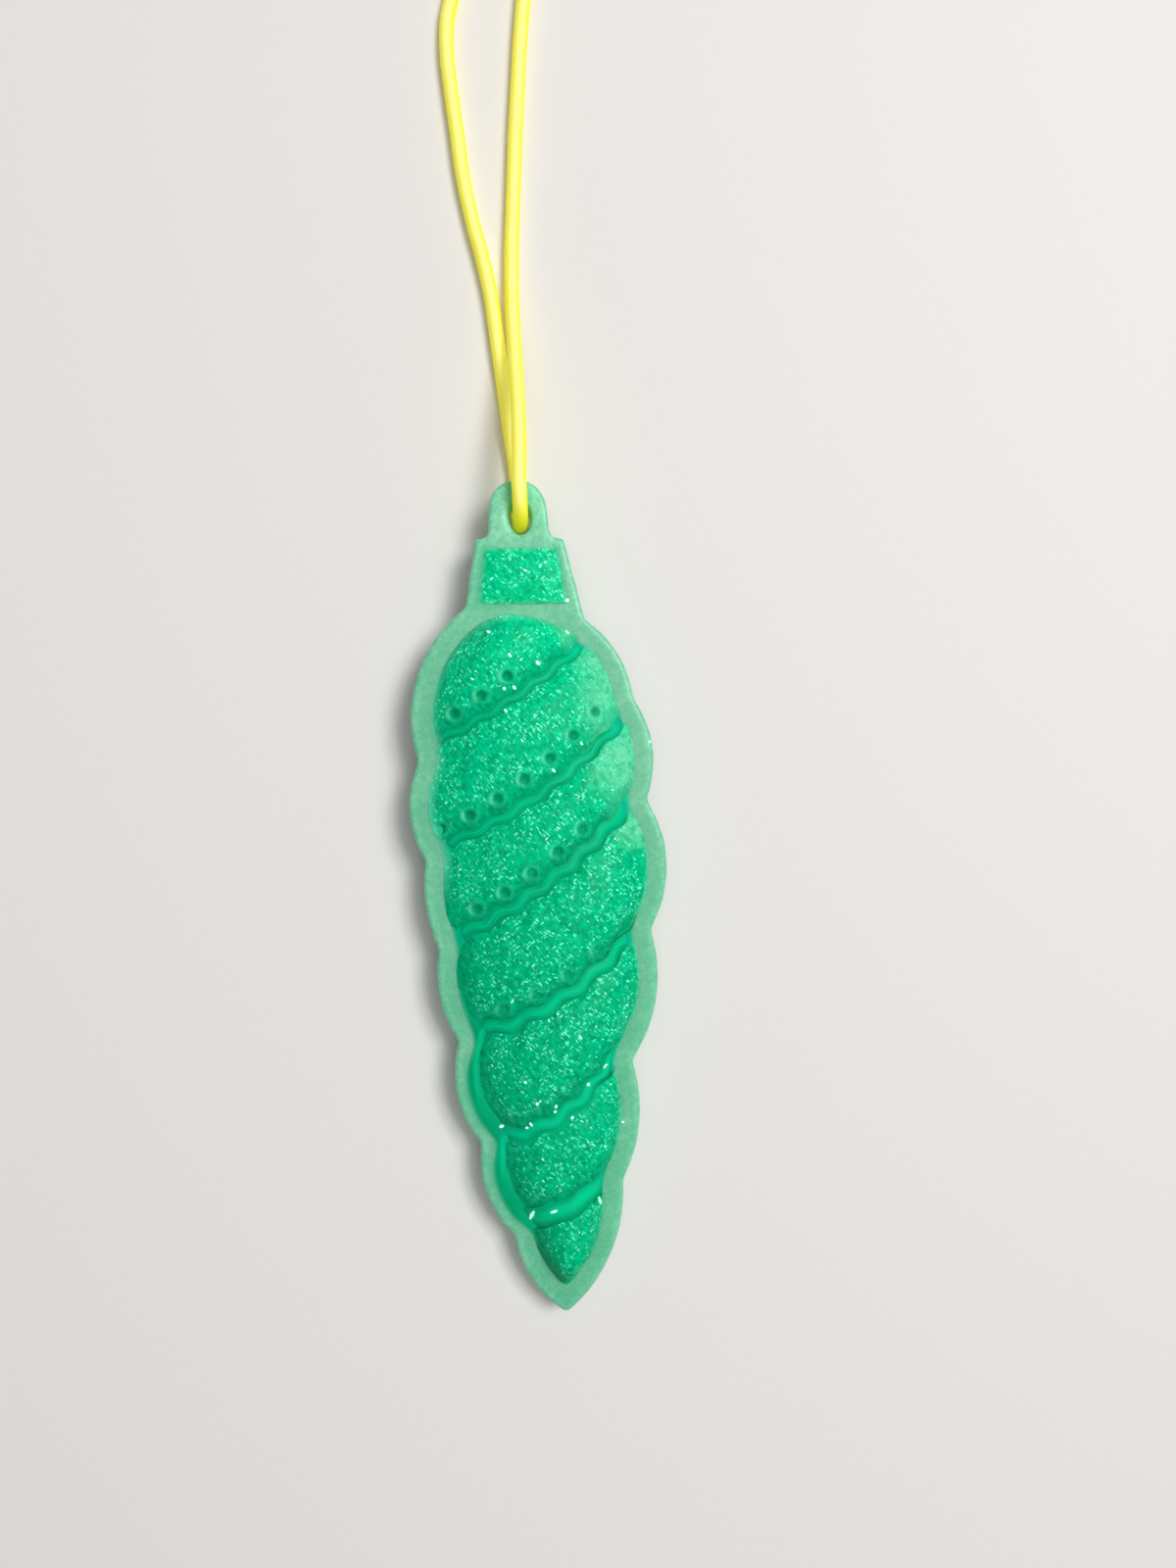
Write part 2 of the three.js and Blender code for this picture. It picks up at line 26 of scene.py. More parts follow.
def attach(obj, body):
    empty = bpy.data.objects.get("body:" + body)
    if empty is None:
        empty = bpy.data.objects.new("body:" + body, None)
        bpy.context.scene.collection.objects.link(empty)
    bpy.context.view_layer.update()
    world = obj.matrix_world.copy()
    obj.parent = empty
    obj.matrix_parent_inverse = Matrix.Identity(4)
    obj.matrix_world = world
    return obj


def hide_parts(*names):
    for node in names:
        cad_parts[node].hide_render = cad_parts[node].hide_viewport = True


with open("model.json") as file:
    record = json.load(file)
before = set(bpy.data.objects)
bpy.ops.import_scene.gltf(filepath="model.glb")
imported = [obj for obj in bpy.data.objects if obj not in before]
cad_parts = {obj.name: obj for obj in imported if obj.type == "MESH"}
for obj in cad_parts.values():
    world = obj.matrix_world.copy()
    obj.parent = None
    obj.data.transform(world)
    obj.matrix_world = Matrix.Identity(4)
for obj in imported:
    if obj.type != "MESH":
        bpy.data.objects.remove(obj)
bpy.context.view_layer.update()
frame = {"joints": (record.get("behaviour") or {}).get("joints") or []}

log = logging.getLogger("ornament")

Values = float | ndarray
Route = Sequence[tuple[float, float, float]]
Place = Callable[[ndarray, ndarray], tuple[ndarray, ndarray]]
Marks = Callable[[ndarray], dict[str, ndarray]]

MILLIMETRE = 0.001
SHARP_ANGLE = math.radians(50)
FLAT_RISE = 1e-9
INSET_MOVE = 0.1
HALVINGS = 16
UPWARD, STRAIGHT_UP = 0.2, 0.999
REFINE_ROUNDS = 10
FOOT_CHAMFER = 0.3
FLAT_RINGS = (1.5, 2.4)
ABOVE_ALL = 20.0


class Body(Enum):
    """The bodies of the frame that pieces ride on."""

    CASTING = "casting"
    LOOP = "hanging_loop"


class Slot(Enum):
    """The record's material slots."""

    PALE = "pale_pour"
    GREEN = "clear_green_pour"
    GLITTER = "glitter_pour"
    SATIN = "satin_cord"


# Plane geometry


def mix(a: Values, b: Values, share: Values) -> Values:
    """Value at a share of the way from a to b."""
    return a + (b - a) * share


def held(values: ndarray) -> ndarray:
    """Values held between 0 and 1."""
    return np.clip(values, 0, 1)


def travelled(line: ndarray) -> ndarray:
    """Length of the way to each point of a line."""
    return np.concatenate([[0.0], np.cumsum(abs(np.diff(line)))])


def inward(outline: ndarray) -> ndarray:
    """Unit steps to the inside of a closed, counter-clockwise outline."""
    ahead = np.roll(outline, -1) - np.roll(outline, 1)
    return 1j * ahead / abs(ahead)


def arc(start: complex, end: complex, rise: float, share: ndarray) -> ndarray:
    """Points of an arc that rises to the right of the way from start to end.

    Args:
        start: Where the arc begins.
        end: Where it ends.
        rise: Height over its chord, in mm.
        share: Shares of the way, from 0 to 1.

    Returns:
        The points, as complex numbers.
    """
    chord = end - start
    length = abs(chord)
    if abs(rise) < FLAT_RISE:
        return start + chord * share
    radius = (length**2 / 4 + rise**2) / (2 * rise)
    angle = math.asin(min(1.0, length / (2 * radius))) * (2 * share - 1)
    along = length / 2 + radius * np.sin(angle)
    out = radius * np.cos(angle) - radius + rise
    return start + chord / length * (along - 1j * out)


def spaced(points: ndarray, step: float, closed: bool = True) -> ndarray:
    """The same line with its points at equal steps.

    Args:
        points: The line.
        step: Spacing, in mm, that the even one comes near to.
        closed: Whether the line runs on from its last point to its first.

    Returns:
        The even line.
    """
    line = np.append(points, points[0]) if closed else points
    reach = travelled(line)
    count = max(3, round(reach[-1] / step))
    even = np.interp(np.linspace(0, reach[-1], count + 1), reach, line)
    return even[:-1] if closed else even


def inset(outline: ndarray, distance: float, step: float = 0.0) -> ndarray:
    """A closed outline moved inwards little by little, so that it never folds over itself.

    Args:
        outline: Points that run counter-clockwise.
        distance: How far it moves, in mm.
        step: Spacing that the points are brought back to, or 0 to keep each point's place.

    Returns:
        The moved outline.
    """
    moves = max(1, math.ceil(abs(distance) / INSET_MOVE))
    line = outline
    for _ in range(moves):
        line = line + inward(line) * (distance / moves)
        line = line / 2 + (np.roll(line, 1) + np.roll(line, -1)) / 4
        if step:
            line = spaced(line, step)
    return line


def clearance(outline: ndarray, points: ndarray) -> ndarray:
    """Distance from each point to a closed outline, negative outside it.

    Args:
        outline: The outline, in mm.
        points: The places to measure at.

    Returns:
        The distances, in the shape of the points.
    """
    start, end = outline, np.roll(outline, -1)
    edge = end - start
    results = []
    for few in np.array_split(points.ravel(), points.size // 1000 + 1):
        spot = few[:, None]
        share = held(((spot - start) * edge.conj()).real / abs(edge) ** 2)
        near = abs(spot - start - share * edge).min(axis=1)
        turn = np.angle((end - spot) / (start - spot)).sum(axis=1)
        results.append(np.where(abs(turn) > math.pi, near, -near))
    return np.concatenate(results).reshape(points.shape)


def reach_within(
    outline: ndarray, spot: Callable[[ndarray], ndarray], outer: ndarray, needed: float
) -> ndarray:
    """How far shares may go from a half towards outer, before their places leave an outline.

    Args:
        outline: The outline, in mm.
        spot: Gives the places of the shares.
        outer: The furthest shares.
        needed: Distance that the places keep from the outline.

    Returns:
        The shares, one for each of the furthest.
    """
    good, bad = np.full_like(outer, 0.5), outer
    for _ in range(HALVINGS):
        middle = (good + bad) / 2
        within = clearance(outline, spot(middle)) >= needed
        good, bad = np.where(within, middle, good), np.where(within, bad, middle)
    return good


def soft_swell(share: ndarray, power: float = 2.4, foot: float = 1.15) -> ndarray:
    """Height share of a swelling whose feet run out softly."""
    return np.maximum(0, 1 - abs(2 * share - 1) ** power) ** foot


def eased(share: ndarray, pull: float = 0.6) -> ndarray:
    """Even shares drawn towards both ends, where a pad curves most."""
    return share * (1 - pull) + (0.5 - 0.5 * np.cos(np.pi * share)) * pull


# Mesh steps that several pieces share


def spots_of(bm: BMesh) -> ndarray:
    """Plane places of a mesh's vertices."""
    return np.array([complex(*vert.co.xy) for vert in bm.verts])


def paint(bm: BMesh, name: str, values: ndarray) -> None:
    """Writes a point attribute that a finish reads.

    Args:
        bm: The mesh.
        name: Name of the attribute.
        values: One value for each vertex.
    """
    layer = bm.verts.layers.float.get(name) or bm.verts.layers.float.new(name)
    for vert, value in zip(bm.verts, values):
        vert[layer] = value


def mark(bm: BMesh, marks: Marks) -> None:
    """Paints all the attributes that are worked out from the vertices' plane places."""
    for name, values in marks(spots_of(bm)).items():
        paint(bm, name, values)


def extruded(bm: BMesh, edges: list[BMEdge]) -> tuple[list[BMVert], list[BMEdge]]:
    """Extrudes border edges.

    Args:
        bm: The mesh that is being built.
        edges: The edges that grow.

    Returns:
        The new vertices and the new border.
    """
    made = bmesh.ops.extrude_edge_only(bm, edges=edges)["geom"]
    return ([g for g in made if isinstance(g, BMVert)],
            [g for g in made if isinstance(g, BMEdge) and g.is_boundary])


def ring(bm: BMesh, points: ndarray, level: float) -> list[BMEdge]:
    """A closed loop of edges, its vertices numbered in the layer "station".

    Args:
        bm: The mesh that is being built.
        points: Places in the plane.
        level: Height, in mm.

    Returns:
        The edges.
    """
    station = bm.verts.layers.int.get("station") or bm.verts.layers.int.new("station")
    verts = [bm.verts.new((p.real, p.imag, level)) for p in points]
    for number, vert in enumerate(verts):
        vert[station] = number
    return [bm.edges.new(pair) for pair in zip(verts, verts[1:] + verts[:1])]


def grow_ring(bm: BMesh, edges: list[BMEdge], points: ndarray, level: float) -> list[BMEdge]:
    """Extrudes a ring and takes each new vertex to its station's place.

    Args:
        bm: The mesh that is being built.
        edges: The ring that grows.
        points: New places in the plane, one for each station.
        level: New height, in mm.

    Returns:
        The edges of the new ring.
    """
    station = bm.verts.layers.int["station"]
    verts, border = extruded(bm, edges)
    for vert in verts:
        spot = points[vert[station]]
        vert.co = (spot.real, spot.imag, level)
    return border


def fill(bm: BMesh, edges: list[BMEdge]) -> None:
    """Closes the area between rings with flat triangles."""
    bmesh.ops.triangle_fill(bm, use_beauty=True, use_dissolve=False, edges=edges)


def sloped_pad(outline: ndarray, base: float, slope: Sequence[tuple[float, float]]) -> BMesh:
    """A flat pad whose side climbs in steps.

    Args:
        outline: Its foot, counter-clockwise, in mm.
        base: Height of its underside.
        slope: Distance inside the foot and height of each step.

    Returns:
        The closed mesh.
    """
    bm = bmesh.new()
    edges = ring(bm, outline, base)
    starts = list(edges)
    for distance, level in slope:
        edges = grow_ring(bm, edges, inset(outline, distance) if distance else outline, level)
    fill(bm, starts)
    fill(bm, edges)
    return bm


def rounded_plate(outline: ndarray, top: float, edge: float, hole: ndarray) -> BMesh:
    """A flat plate with a rounded upper edge, grown ring by ring from its outlines.

    Args:
        outline: Its side, counter-clockwise, in mm.
        top: Height of its upper side over its underside at 0.
        edge: Radius of the upper edge.
        hole: Outline of its hole, counter-clockwise.

    Returns:
        The closed mesh.
    """
    bm = bmesh.new()
    foot = FOOT_CHAMFER * edge
    turns = [math.radians(a) for a in range(0, 91, 18)]
    profile = [(0.0, foot)] + [
        (edge * (1 - math.cos(a)), top - edge + edge * math.sin(a)) for a in turns]
    flat = [(edge * share, top) for share in FLAT_RINGS]
    starts, ends = [], []
    for line, way, steps in ((outline, 1, profile + flat), (hole, -1, profile)):
        edges = ring(bm, inset(line, way * foot), 0.0)
        starts += edges
        for distance, level in steps:
            edges = grow_ring(bm, edges, inset(line, way * distance) if distance else line, level)
        ends += edges
    fill(bm, starts)
    fill(bm, ends)
    return bm


def patch(columns: int, rows: int, place: Place) -> BMesh:
    """A grid whose vertices are taken to their places by their shares of its two sides.

    Args:
        columns: Number of faces along the first side.
        rows: Number of faces along the second side.
        place: Gives the plane places and the heights for arrays of the two shares.

    Returns:
        The open sheet, with the second share in the layer "tone".
    """
    bm = bmesh.new()
    tone = bm.verts.layers.float.new("tone")
    bmesh.ops.create_grid(bm, x_segments=columns, y_segments=rows, size=0.5)
    share = np.array([vert.co.xy for vert in bm.verts]) + 0.5
    flat, height = place(held(share[:, 0]), held(share[:, 1]))
    for vert, spot, level, second in zip(bm.verts, flat, height, share[:, 1]):
        vert.co = (spot.real, spot.imag, level)
        vert[tone] = second
    return bm


def close_below(bm: BMesh, level: float) -> None:
    """Draws the border of a sheet down to a level and closes it there.

    Args:
        bm: The sheet, in mm.
        level: Height that it is closed at.
    """
    verts, foot = extruded(bm, [edge for edge in bm.edges if edge.is_boundary])
    for vert in verts:
        vert.co.z = level
    bmesh.ops.holes_fill(bm, edges=foot, sides=0)


def roughen(bm: BMesh, waves: Sequence[tuple[float, float]]) -> None:
    """Lifts and lowers the upward surface by fine, fixed unevennesses.

    Args:
        bm: The mesh, in mm.
        waves: Width of each unevenness and how far it goes up and down, one after the other.
    """
    for size, height in waves:
        bm.normal_update()
        for vert in bm.verts:
            if vert.normal.z > UPWARD:
                vert.co += vert.normal * noise.noise(vert.co / size) * height


def flat_top(bm: BMesh) -> list[BMFace]:
    """The faces that look straight up."""
    bm.normal_update()
    return [face for face in bm.faces if face.normal.z > STRAIGHT_UP]


def refine(bm: BMesh, longest: float) -> None:
    """Splits the long edges of a flat upper side. It goes by lists, so each run is the same.

    Args:
        bm: The mesh, with a flat upper side of long triangles.
        longest: Length in mm that no edge there is to have.
    """
    for _ in range(REFINE_ROUNDS):
        long = dict.fromkeys(edge for face in flat_top(bm) for edge in face.edges
                             if edge.calc_length() > longest)
        if not long:
            return
        bmesh.ops.subdivide_edges(bm, edges=list(long), cuts=1)
        bmesh.ops.triangulate(bm, faces=[face for face in bm.faces if len(face.verts) > 4])
        upper = flat_top(bm)
        inner = dict.fromkeys(edge for face in upper for edge in face.edges
                              if all(other.normal.z > STRAIGHT_UP for other in edge.link_faces))
        bmesh.ops.beautify_fill(bm, faces=upper, edges=list(inner), method="ANGLE")


def joined(parts: Sequence[BMesh]) -> BMesh:
    """All parts in the first mesh; the others are freed.

    Args:
        parts: The meshes.

    Returns:
        The first of them, with the others in it.
    """
    whole = parts[0]
    for part in parts[1:]:
        scrap = bpy.data.meshes.new("scrap")
        part.to_mesh(scrap)
        part.free()
        whole.from_mesh(scrap)
        bpy.data.meshes.remove(scrap)
    return whole


def make_piece(
    bm: BMesh, name: str, body: Body, material: bpy.types.Material,
    replaces: Sequence[str] = (), place: Matrix | None = None,
) -> bpy.types.Object:
    """Turns a finished mesh into a piece that rides on its body.

    Args:
        bm: The mesh, in mm; it is freed.
        name: Name of the piece.
        body: Body that it moves with.
        material: Its finish.
        replaces: CAD nodes that it stands for.
        place: Takes the mesh into the frame, in metres.

    Returns:
        The object.
    """
    bmesh.ops.recalc_face_normals(bm, faces=bm.faces)
    bm.transform(place or Matrix.Scale(MILLIMETRE, 4))
    mesh = bpy.data.meshes.new(name)
    bm.to_mesh(mesh)
    bm.free()
    mesh.shade_smooth()
    mesh.set_sharp_from_angle(angle=SHARP_ANGLE)
    mesh.materials.append(material)
    piece = bpy.data.objects.new(name, mesh)
    bpy.context.scene.collection.objects.link(piece)
    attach(piece, body.value)
    if replaces:
        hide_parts(*replaces)
    log.info("%s: %d faces", name, len(mesh.polygons))
    return piece


# Materials

COLOUR_A, COLOUR_B = 6, 7
RESIN_IOR = 1.5


def srgb(code: int) -> tuple[float, float, float, float]:
    """Linear colour of an sRGB hex value."""
    parts = [(code >> shift & 255) / 255 for shift in (16, 8, 0)]
    return (*[p / 12.92 if p <= 0.04045 else ((p + 0.055) / 1.055) ** 2.4 for p in parts], 1.0)


def add_node(tree: NodeTree, kind: str, inputs: dict | Sequence = (), **settings: object) -> Node:
    """Adds a node with its settings, socket values and links.

    Args:
        tree: The material's node tree.
        kind: Node type, without its "ShaderNode" prefix.
        inputs: What goes into its sockets, by name or number, or in order from the first one:
            a value, a socket, or a node, whose first result is taken.
        settings: Attributes of the node.

    Returns:
        The node.
    """
    node = tree.nodes.new("ShaderNode" + kind)
    for key, value in settings.items():
        setattr(node, key, value)
    for key, value in inputs.items() if isinstance(inputs, dict) else enumerate(inputs):
        if isinstance(value, Node):
            value = next(socket for socket in value.outputs if socket.enabled)
        if isinstance(value, NodeSocket):
            tree.links.new(value, node.inputs[key])
        else:
            node.inputs[key].default_value = value
    return node


@dataclass(frozen=True)
class Finish:
    """A finish made of one shader, whose colour comes from noises and from marks on the mesh."""

    title: ClassVar[str]
    marks: ClassVar[tuple[str, ...]] = ()

    def surface(self, tree: NodeTree, place: NodeSocket, marks: dict[str, Node]) -> dict:
        """What goes into the shader.

        Args:
            tree: The material's node tree.
            place: Object coordinates, in metres.
            marks: The point attributes that the finish reads, by name.

        Returns:
            Values, sockets and nodes by the name of the shader's socket.
        """
        raise NotImplementedError

    def material(self) -> bpy.types.Material:
        """The finish as a node material.

        Returns:
            The material.
        """
        material = bpy.data.materials.new(self.title)
        material.use_nodes = True
        tree = material.node_tree
        tree.nodes.clear()
        place = add_node(tree, "TexCoord").outputs["Object"]
        marks = {name: add_node(tree, "Attribute", attribute_name=name, attribute_type="GEOMETRY")
                 for name in self.marks}
        shader = add_node(tree, "BsdfPrincipled", self.surface(tree, place, marks))
        add_node(tree, "OutputMaterial", {"Surface": shader})
        return material


@dataclass(frozen=True)
class MilkyResin(Finish):
    """Casting resin clouded with white pigment, poured and left to level: soft, waxy, see-through
    only at its edges, with faint clouds, a few trapped bubbles and a highlight painted along its brink."""

    title: ClassVar[str] = "milky_casting_resin"
    marks: ClassVar[tuple[str, ...]] = ("brink", "stain")
    base: int = 0x6CC499
    cloud: int = 0x84D2AC
    deep: int = 0x53B68B
    pale: int = 0x86DDB0
    stain: int = 0x1CC08A
    # bright: colour of the highlight painted along the brink
    bright: int = 0x9DE2C2
    frost: int = 0x3FB488
    cloud_mm: float = 5.0
    mottle_mm: float = 0.9
    grain_mm: float = 0.35

    def surface(self, tree: NodeTree, place: NodeSocket, marks: dict[str, Node]) -> dict:
        """Clouds, a paler tab, a highlight painted along the brink, fine frost and the green that seeps
        in.

        Args:
            tree: The material's node tree.
            place: Object coordinates, in metres.
            marks: The point attributes that the finish reads, by name.

        Returns:
            Values, sockets and nodes by the name of the shader's socket.
        """
        clouds, mottle, grain = [
            add_node(tree, "TexNoise", {"Vector": place, "Scale": 1000 / size, "Detail": detail})
            for size, detail in ((self.cloud_mm, 3.0), (self.mottle_mm, 2.0), (self.grain_mm, 2.0))]
        tone = add_node(tree, "ValToRGB", [clouds])
        for stop, at, code in zip(tone.color_ramp.elements, (0.3, 0.7), (self.deep, self.cloud)):
            stop.position, stop.color = at, srgb(code)
        colour = add_node(tree, "Mix", {0: 0.45, COLOUR_A: srgb(self.base), COLOUR_B: tone},
                          data_type="RGBA")
        up = add_node(tree, "SeparateXYZ", [place]).outputs["Y"]
        towards_tab = add_node(tree, "MapRange", [up, 0.03, 0.045, 0.0, 0.7],
                               interpolation_type="SMOOTHSTEP")
        # Painted highlight along the plate's outer edge, where the rounded brink catches the light
        edge_highlight = add_node(tree, "Math", [marks["brink"].outputs["Fac"], 0.5],
                                operation="MULTIPLY")
        worn = add_node(tree, "Math", [grain, mottle], operation="ADD")
        speckle = add_node(tree, "MapRange", [worn, 0.85, 1.2, 0.5, 0.0])
        seep = add_node(tree, "Math", [marks["stain"].outputs["Fac"], 1.6], operation="POWER")
        seep = add_node(tree, "Math", [seep, 0.85], operation="MULTIPLY")
        for share, code in ((towards_tab, self.pale), (edge_highlight, self.bright),
                            (speckle, self.frost), (seep, self.stain)):
            colour = add_node(tree, "Mix", {0: share, COLOUR_A: colour, COLOUR_B: srgb(code)},
                              data_type="RGBA")
        bump = add_node(tree, "Bump", {"Height": mottle, "Strength": 0.12, "Distance": 0.0003})
        return {"Base Color": colour, "Normal": bump, "Roughness": 0.38, "IOR": RESIN_IOR,
                "Subsurface Weight": 0.55, "Subsurface Radius": (0.0012, 0.0024, 0.0016),
                "Subsurface Scale": 1.0}


@dataclass(frozen=True)
class ClearGreenResin(Finish):
    """Dyed clear resin without glitter, cured against a smooth mould: deep, even and glossy."""

    title: ClassVar[str] = "clear_green_casting_resin"
    marks: ClassVar[tuple[str, ...]] = ("tone", "haze")
    # line and crest: painted shade in the grooves and ledges, painted light on the ribbons' crests;
    # line also darkens the flow lines
    line: int = 0x009A68
    deep: int = 0x00B880
    crest: int = 0x00D298
    haze: int = 0x84DDB4
    depth_mm: float = 3.5
    ripple_mm: float = 0.7

    def surface(self, tree: NodeTree, place: NodeSocket, marks: dict[str, Node]) -> dict:
        """Painted shade in the grooves beside the ribbons and on the lower left ledges, painted light
        on the crests, darker flow lines, clouded where the milky pour meets it.

        Args:
            tree: The material's node tree.
            place: Object coordinates, in metres.
            marks: The point attributes that the finish reads, by name.

        Returns:
            Values, sockets and nodes by the name of the shader's socket.
        """
        drift, ripple = [
            add_node(tree, "TexNoise", {"Vector": place, "Scale": 1000 / size, "Detail": 2.0})
            for size in (self.depth_mm, self.ripple_mm)]
        tone = add_node(tree, "ValToRGB", [marks["tone"].outputs["Fac"]])
        tone.color_ramp.elements.new(0.5)
        for stop, code in zip(tone.color_ramp.elements, (self.line, self.deep, self.crest)):
            stop.color = srgb(code)
        cloudy = add_node(tree, "Mix", {0: 0.35, COLOUR_A: tone, COLOUR_B: drift},
                          data_type="RGBA", blend_type="SOFT_LIGHT")
        # Milky clouding near the outline, its colour paler than the milky pour to offset the shade on
        # the bed's slope: partly painted light
        hazed = add_node(tree, "Mix", {0: marks["haze"].outputs["Fac"], COLOUR_A: cloudy,
                                       COLOUR_B: srgb(self.haze)}, data_type="RGBA")
        bump = add_node(tree, "Bump", {"Height": ripple, "Strength": 0.15, "Distance": 0.0002})
        return {"Base Color": hazed, "Normal": bump, "Roughness": 0.4, "IOR": RESIN_IOR,
                "Specular IOR Level": 0.04, "Subsurface Weight": 0.3,
                "Subsurface Radius": (0.0003, 0.0014, 0.0009), "Subsurface Scale": 1.0}


@dataclass(frozen=True)
class GlitterResin(Finish):
    """Dyed resin filled with fine cut glitter, cured against a smooth mould: a green ground
    crowded with short pale slivers that lie every way; they glow a little, and a few glow white as
    painted glints."""

    title: ClassVar[str] = "glitter_filled_casting_resin"
    marks: ClassVar[tuple[str, ...]] = ("margin", "bare", "pit", "lip", "frost")
    ground: int = 0x00CE92
    shade: int = 0x00A068
    pit: int = 0x009A69
    # Colour of the lips: pale rings and pools, and painted light on the upper fills' left borders and
    # the eyelets' left crescents
    lip: int = 0x62E8BC
    sliver: int = 0x62FFCC
    # Colour of the few slivers painted white as glints that glow
    painted_glint: int = 0xC8FFF6
    haze: int = 0x70DDAC
    # How strongly the painted glints and the other slivers glow
    glint_emission: float = 0.6
    sliver_glow: float = 0.2
    sliver_mm: float = 0.24
    aspect: float = 3.2
    streak_mm: float = 0.28
    drift_mm: float = 0.8
    cluster_mm: float = 2.4
    comb_turn: float = math.radians(-55)
    layers: tuple = ((-58, 0.013), (-32, 0.029), (38, 0.047))

    def slivers(
        self, tree: NodeTree, place: NodeSocket, turn: float, seed: float
    ) -> tuple[Node, NodeSocket]:
        """One layer of short slivers that lie one way.

        Args:
            tree: The material's node tree.
            place: Object coordinates.
            turn: Direction of the slivers, in degrees.
            seed: Shift that makes the layer its own.

        Returns:
            The mask of the slivers and their random colour.
        """
        turned = add_node(tree, "Mapping", {
            "Vector": place, "Rotation": (0.0, 0.0, math.radians(turn)),
            "Location": (seed, seed / 3, seed / 7), "Scale": (self.aspect, 1.0, 1.5),
        }, vector_type="TEXTURE")
        cells = add_node(tree, "TexVoronoi", {"Vector": turned, "Scale": 1000 / self.sliver_mm,
                                              "Randomness": 1.0})
        return add_node(tree, "MapRange", [cells, 0.28, 0.42, 1.0, 0.0]), cells.outputs["Color"]

    def surface(self, tree: NodeTree, place: NodeSocket, marks: dict[str, Node]) -> dict:
        """A mottled ground with painted shade along its margins and painted light towards the top,
        pits, lips and frost that are partly painted light and sheen, and the layers of slivers over
        them.

        Args:
            tree: The material's node tree.
            place: Object coordinates, in metres.
            marks: The point attributes that the finish reads, by name.

        Returns:
            Values, sockets and nodes by the name of the shader's socket.
        """
        marks = {name: node.outputs["Fac"] for name, node in marks.items()}
        clusters = add_node(tree, "TexNoise", {
            "Vector": place, "Scale": 1000 / self.cluster_mm, "Detail": 3.0, "Roughness": 0.6})
        drift = add_node(tree, "TexNoise", {"Vector": place, "Scale": 1000 / self.drift_mm,
                                            "Detail": 3.0})
        combed = add_node(tree, "Mapping", {
            "Vector": place, "Rotation": (0.0, 0.0, self.comb_turn), "Scale": (2.6, 1.0, 1.0),
        }, vector_type="TEXTURE")
        streaks = add_node(tree, "TexNoise", {"Vector": combed, "Scale": 1000 / self.streak_mm,
                                              "Detail": 2.0})
        ground = add_node(tree, "ValToRGB", [add_node(tree, "Mix", {0: 0.55, 2: drift, 3: streaks})])
        for stop, at, code in zip(ground.color_ramp.elements, (0.36, 0.62), (self.shade, self.ground)):
            stop.position, stop.color = at, srgb(code)
        part = add_node(tree, "SeparateXYZ", [place])
        # inner: painted shade that darkens the lower and left margins; filled: glitter that thins there
        inner, filled = [
            add_node(tree, "MapRange", [marks["margin"], *span], interpolation_type="SMOOTHSTEP")
            for span in ((0.0, 1.0, 0.8, 1.0), (0.15, 0.75, 0.04, 1.0))]
        # lift: painted light, brighter towards the top; lower and leftward: fewer slivers towards the
        # lower left
        lift, lower, leftward, mottled, crowd = [
            add_node(tree, "MapRange", [source, *span]) for source, span in (
                (part.outputs["Y"], (-0.01, 0.04, 0.94, 1.22)),
                (part.outputs["Y"], (-0.05, -0.008, 0.6, 1.0)),
                (part.outputs["X"], (-0.012, 0.0, 0.68, 1.0)),
                (drift, (0.35, 0.6, 0.35, 1.0)),
                (clusters, (0.4, 0.62, 0.88, 0.45)))]
        # haze: the frost mark, partly painted sheen and partly milky haze, mottled
        level, spread, haze = [
            add_node(tree, "Math", pair, operation="MULTIPLY")
            for pair in ((inner, lift), (lower, leftward), (marks["frost"], mottled))]
        filled = add_node(tree, "Math", [filled, marks["bare"]], operation="SUBTRACT", use_clamp=True)
        filled = add_node(tree, "Math", [filled, spread], operation="MULTIPLY")
        colour = add_node(tree, "VectorMath", {0: ground, "Scale": level}, operation="SCALE")
        for share, code in ((marks["pit"], self.pit), (marks["lip"], self.lip), (haze, self.haze)):
            colour = add_node(tree, "Mix", {0: share, COLOUR_A: colour, COLOUR_B: srgb(code)},
                              data_type="RGBA")
        # Each layer's slivers are partly the glitter's own pale colour and partly painted glint; the
        # brightest cells are painted white glints
        tilt = glint = glint_glow = None
        for turn, seed in self.layers:
            mask, tint = self.slivers(tree, place, turn, seed)
            chosen = add_node(tree, "SeparateColor", [tint])
            vivid = add_node(tree, "MapRange", [chosen.outputs["Blue"], 0.1, 1.0, 0.1, 1.0])
            strength = add_node(tree, "Math", [chosen, crowd], operation="GREATER_THAN")
            for factor in (mask, filled, vivid):
                strength = add_node(tree, "Math", [strength, factor], operation="MULTIPLY")
            bright = add_node(tree, "Math", [chosen.outputs["Green"], 0.97], operation="GREATER_THAN")
            paint = add_node(tree, "Mix", {0: bright, COLOUR_A: srgb(self.sliver),
                                           COLOUR_B: srgb(self.painted_glint)}, data_type="RGBA")
            colour = add_node(tree, "Mix", {0: strength, COLOUR_A: colour, COLOUR_B: paint},
                              data_type="RGBA")
            lean = add_node(tree, "VectorMath", [tint, (0.5, 0.5, 0.5)], operation="SUBTRACT")
            lean = add_node(tree, "VectorMath", {0: lean, "Scale": strength}, operation="SCALE")
            lit = add_node(tree, "Math", [bright, strength], operation="MULTIPLY")
            if tilt is None:
                tilt, glint, glint_glow = lean, strength, lit
            else:
                tilt = add_node(tree, "VectorMath", [tilt, lean], operation="ADD")
                glint = add_node(tree, "Math", [glint, strength], operation="MAXIMUM")
                glint_glow = add_node(tree, "Math", [glint_glow, lit], operation="MAXIMUM")
        bump = add_node(tree, "Bump", {"Height": drift, "Strength": 0.3, "Distance": 0.0002})
        lean = add_node(tree, "VectorMath", {0: tilt, "Scale": 0.5}, operation="SCALE")
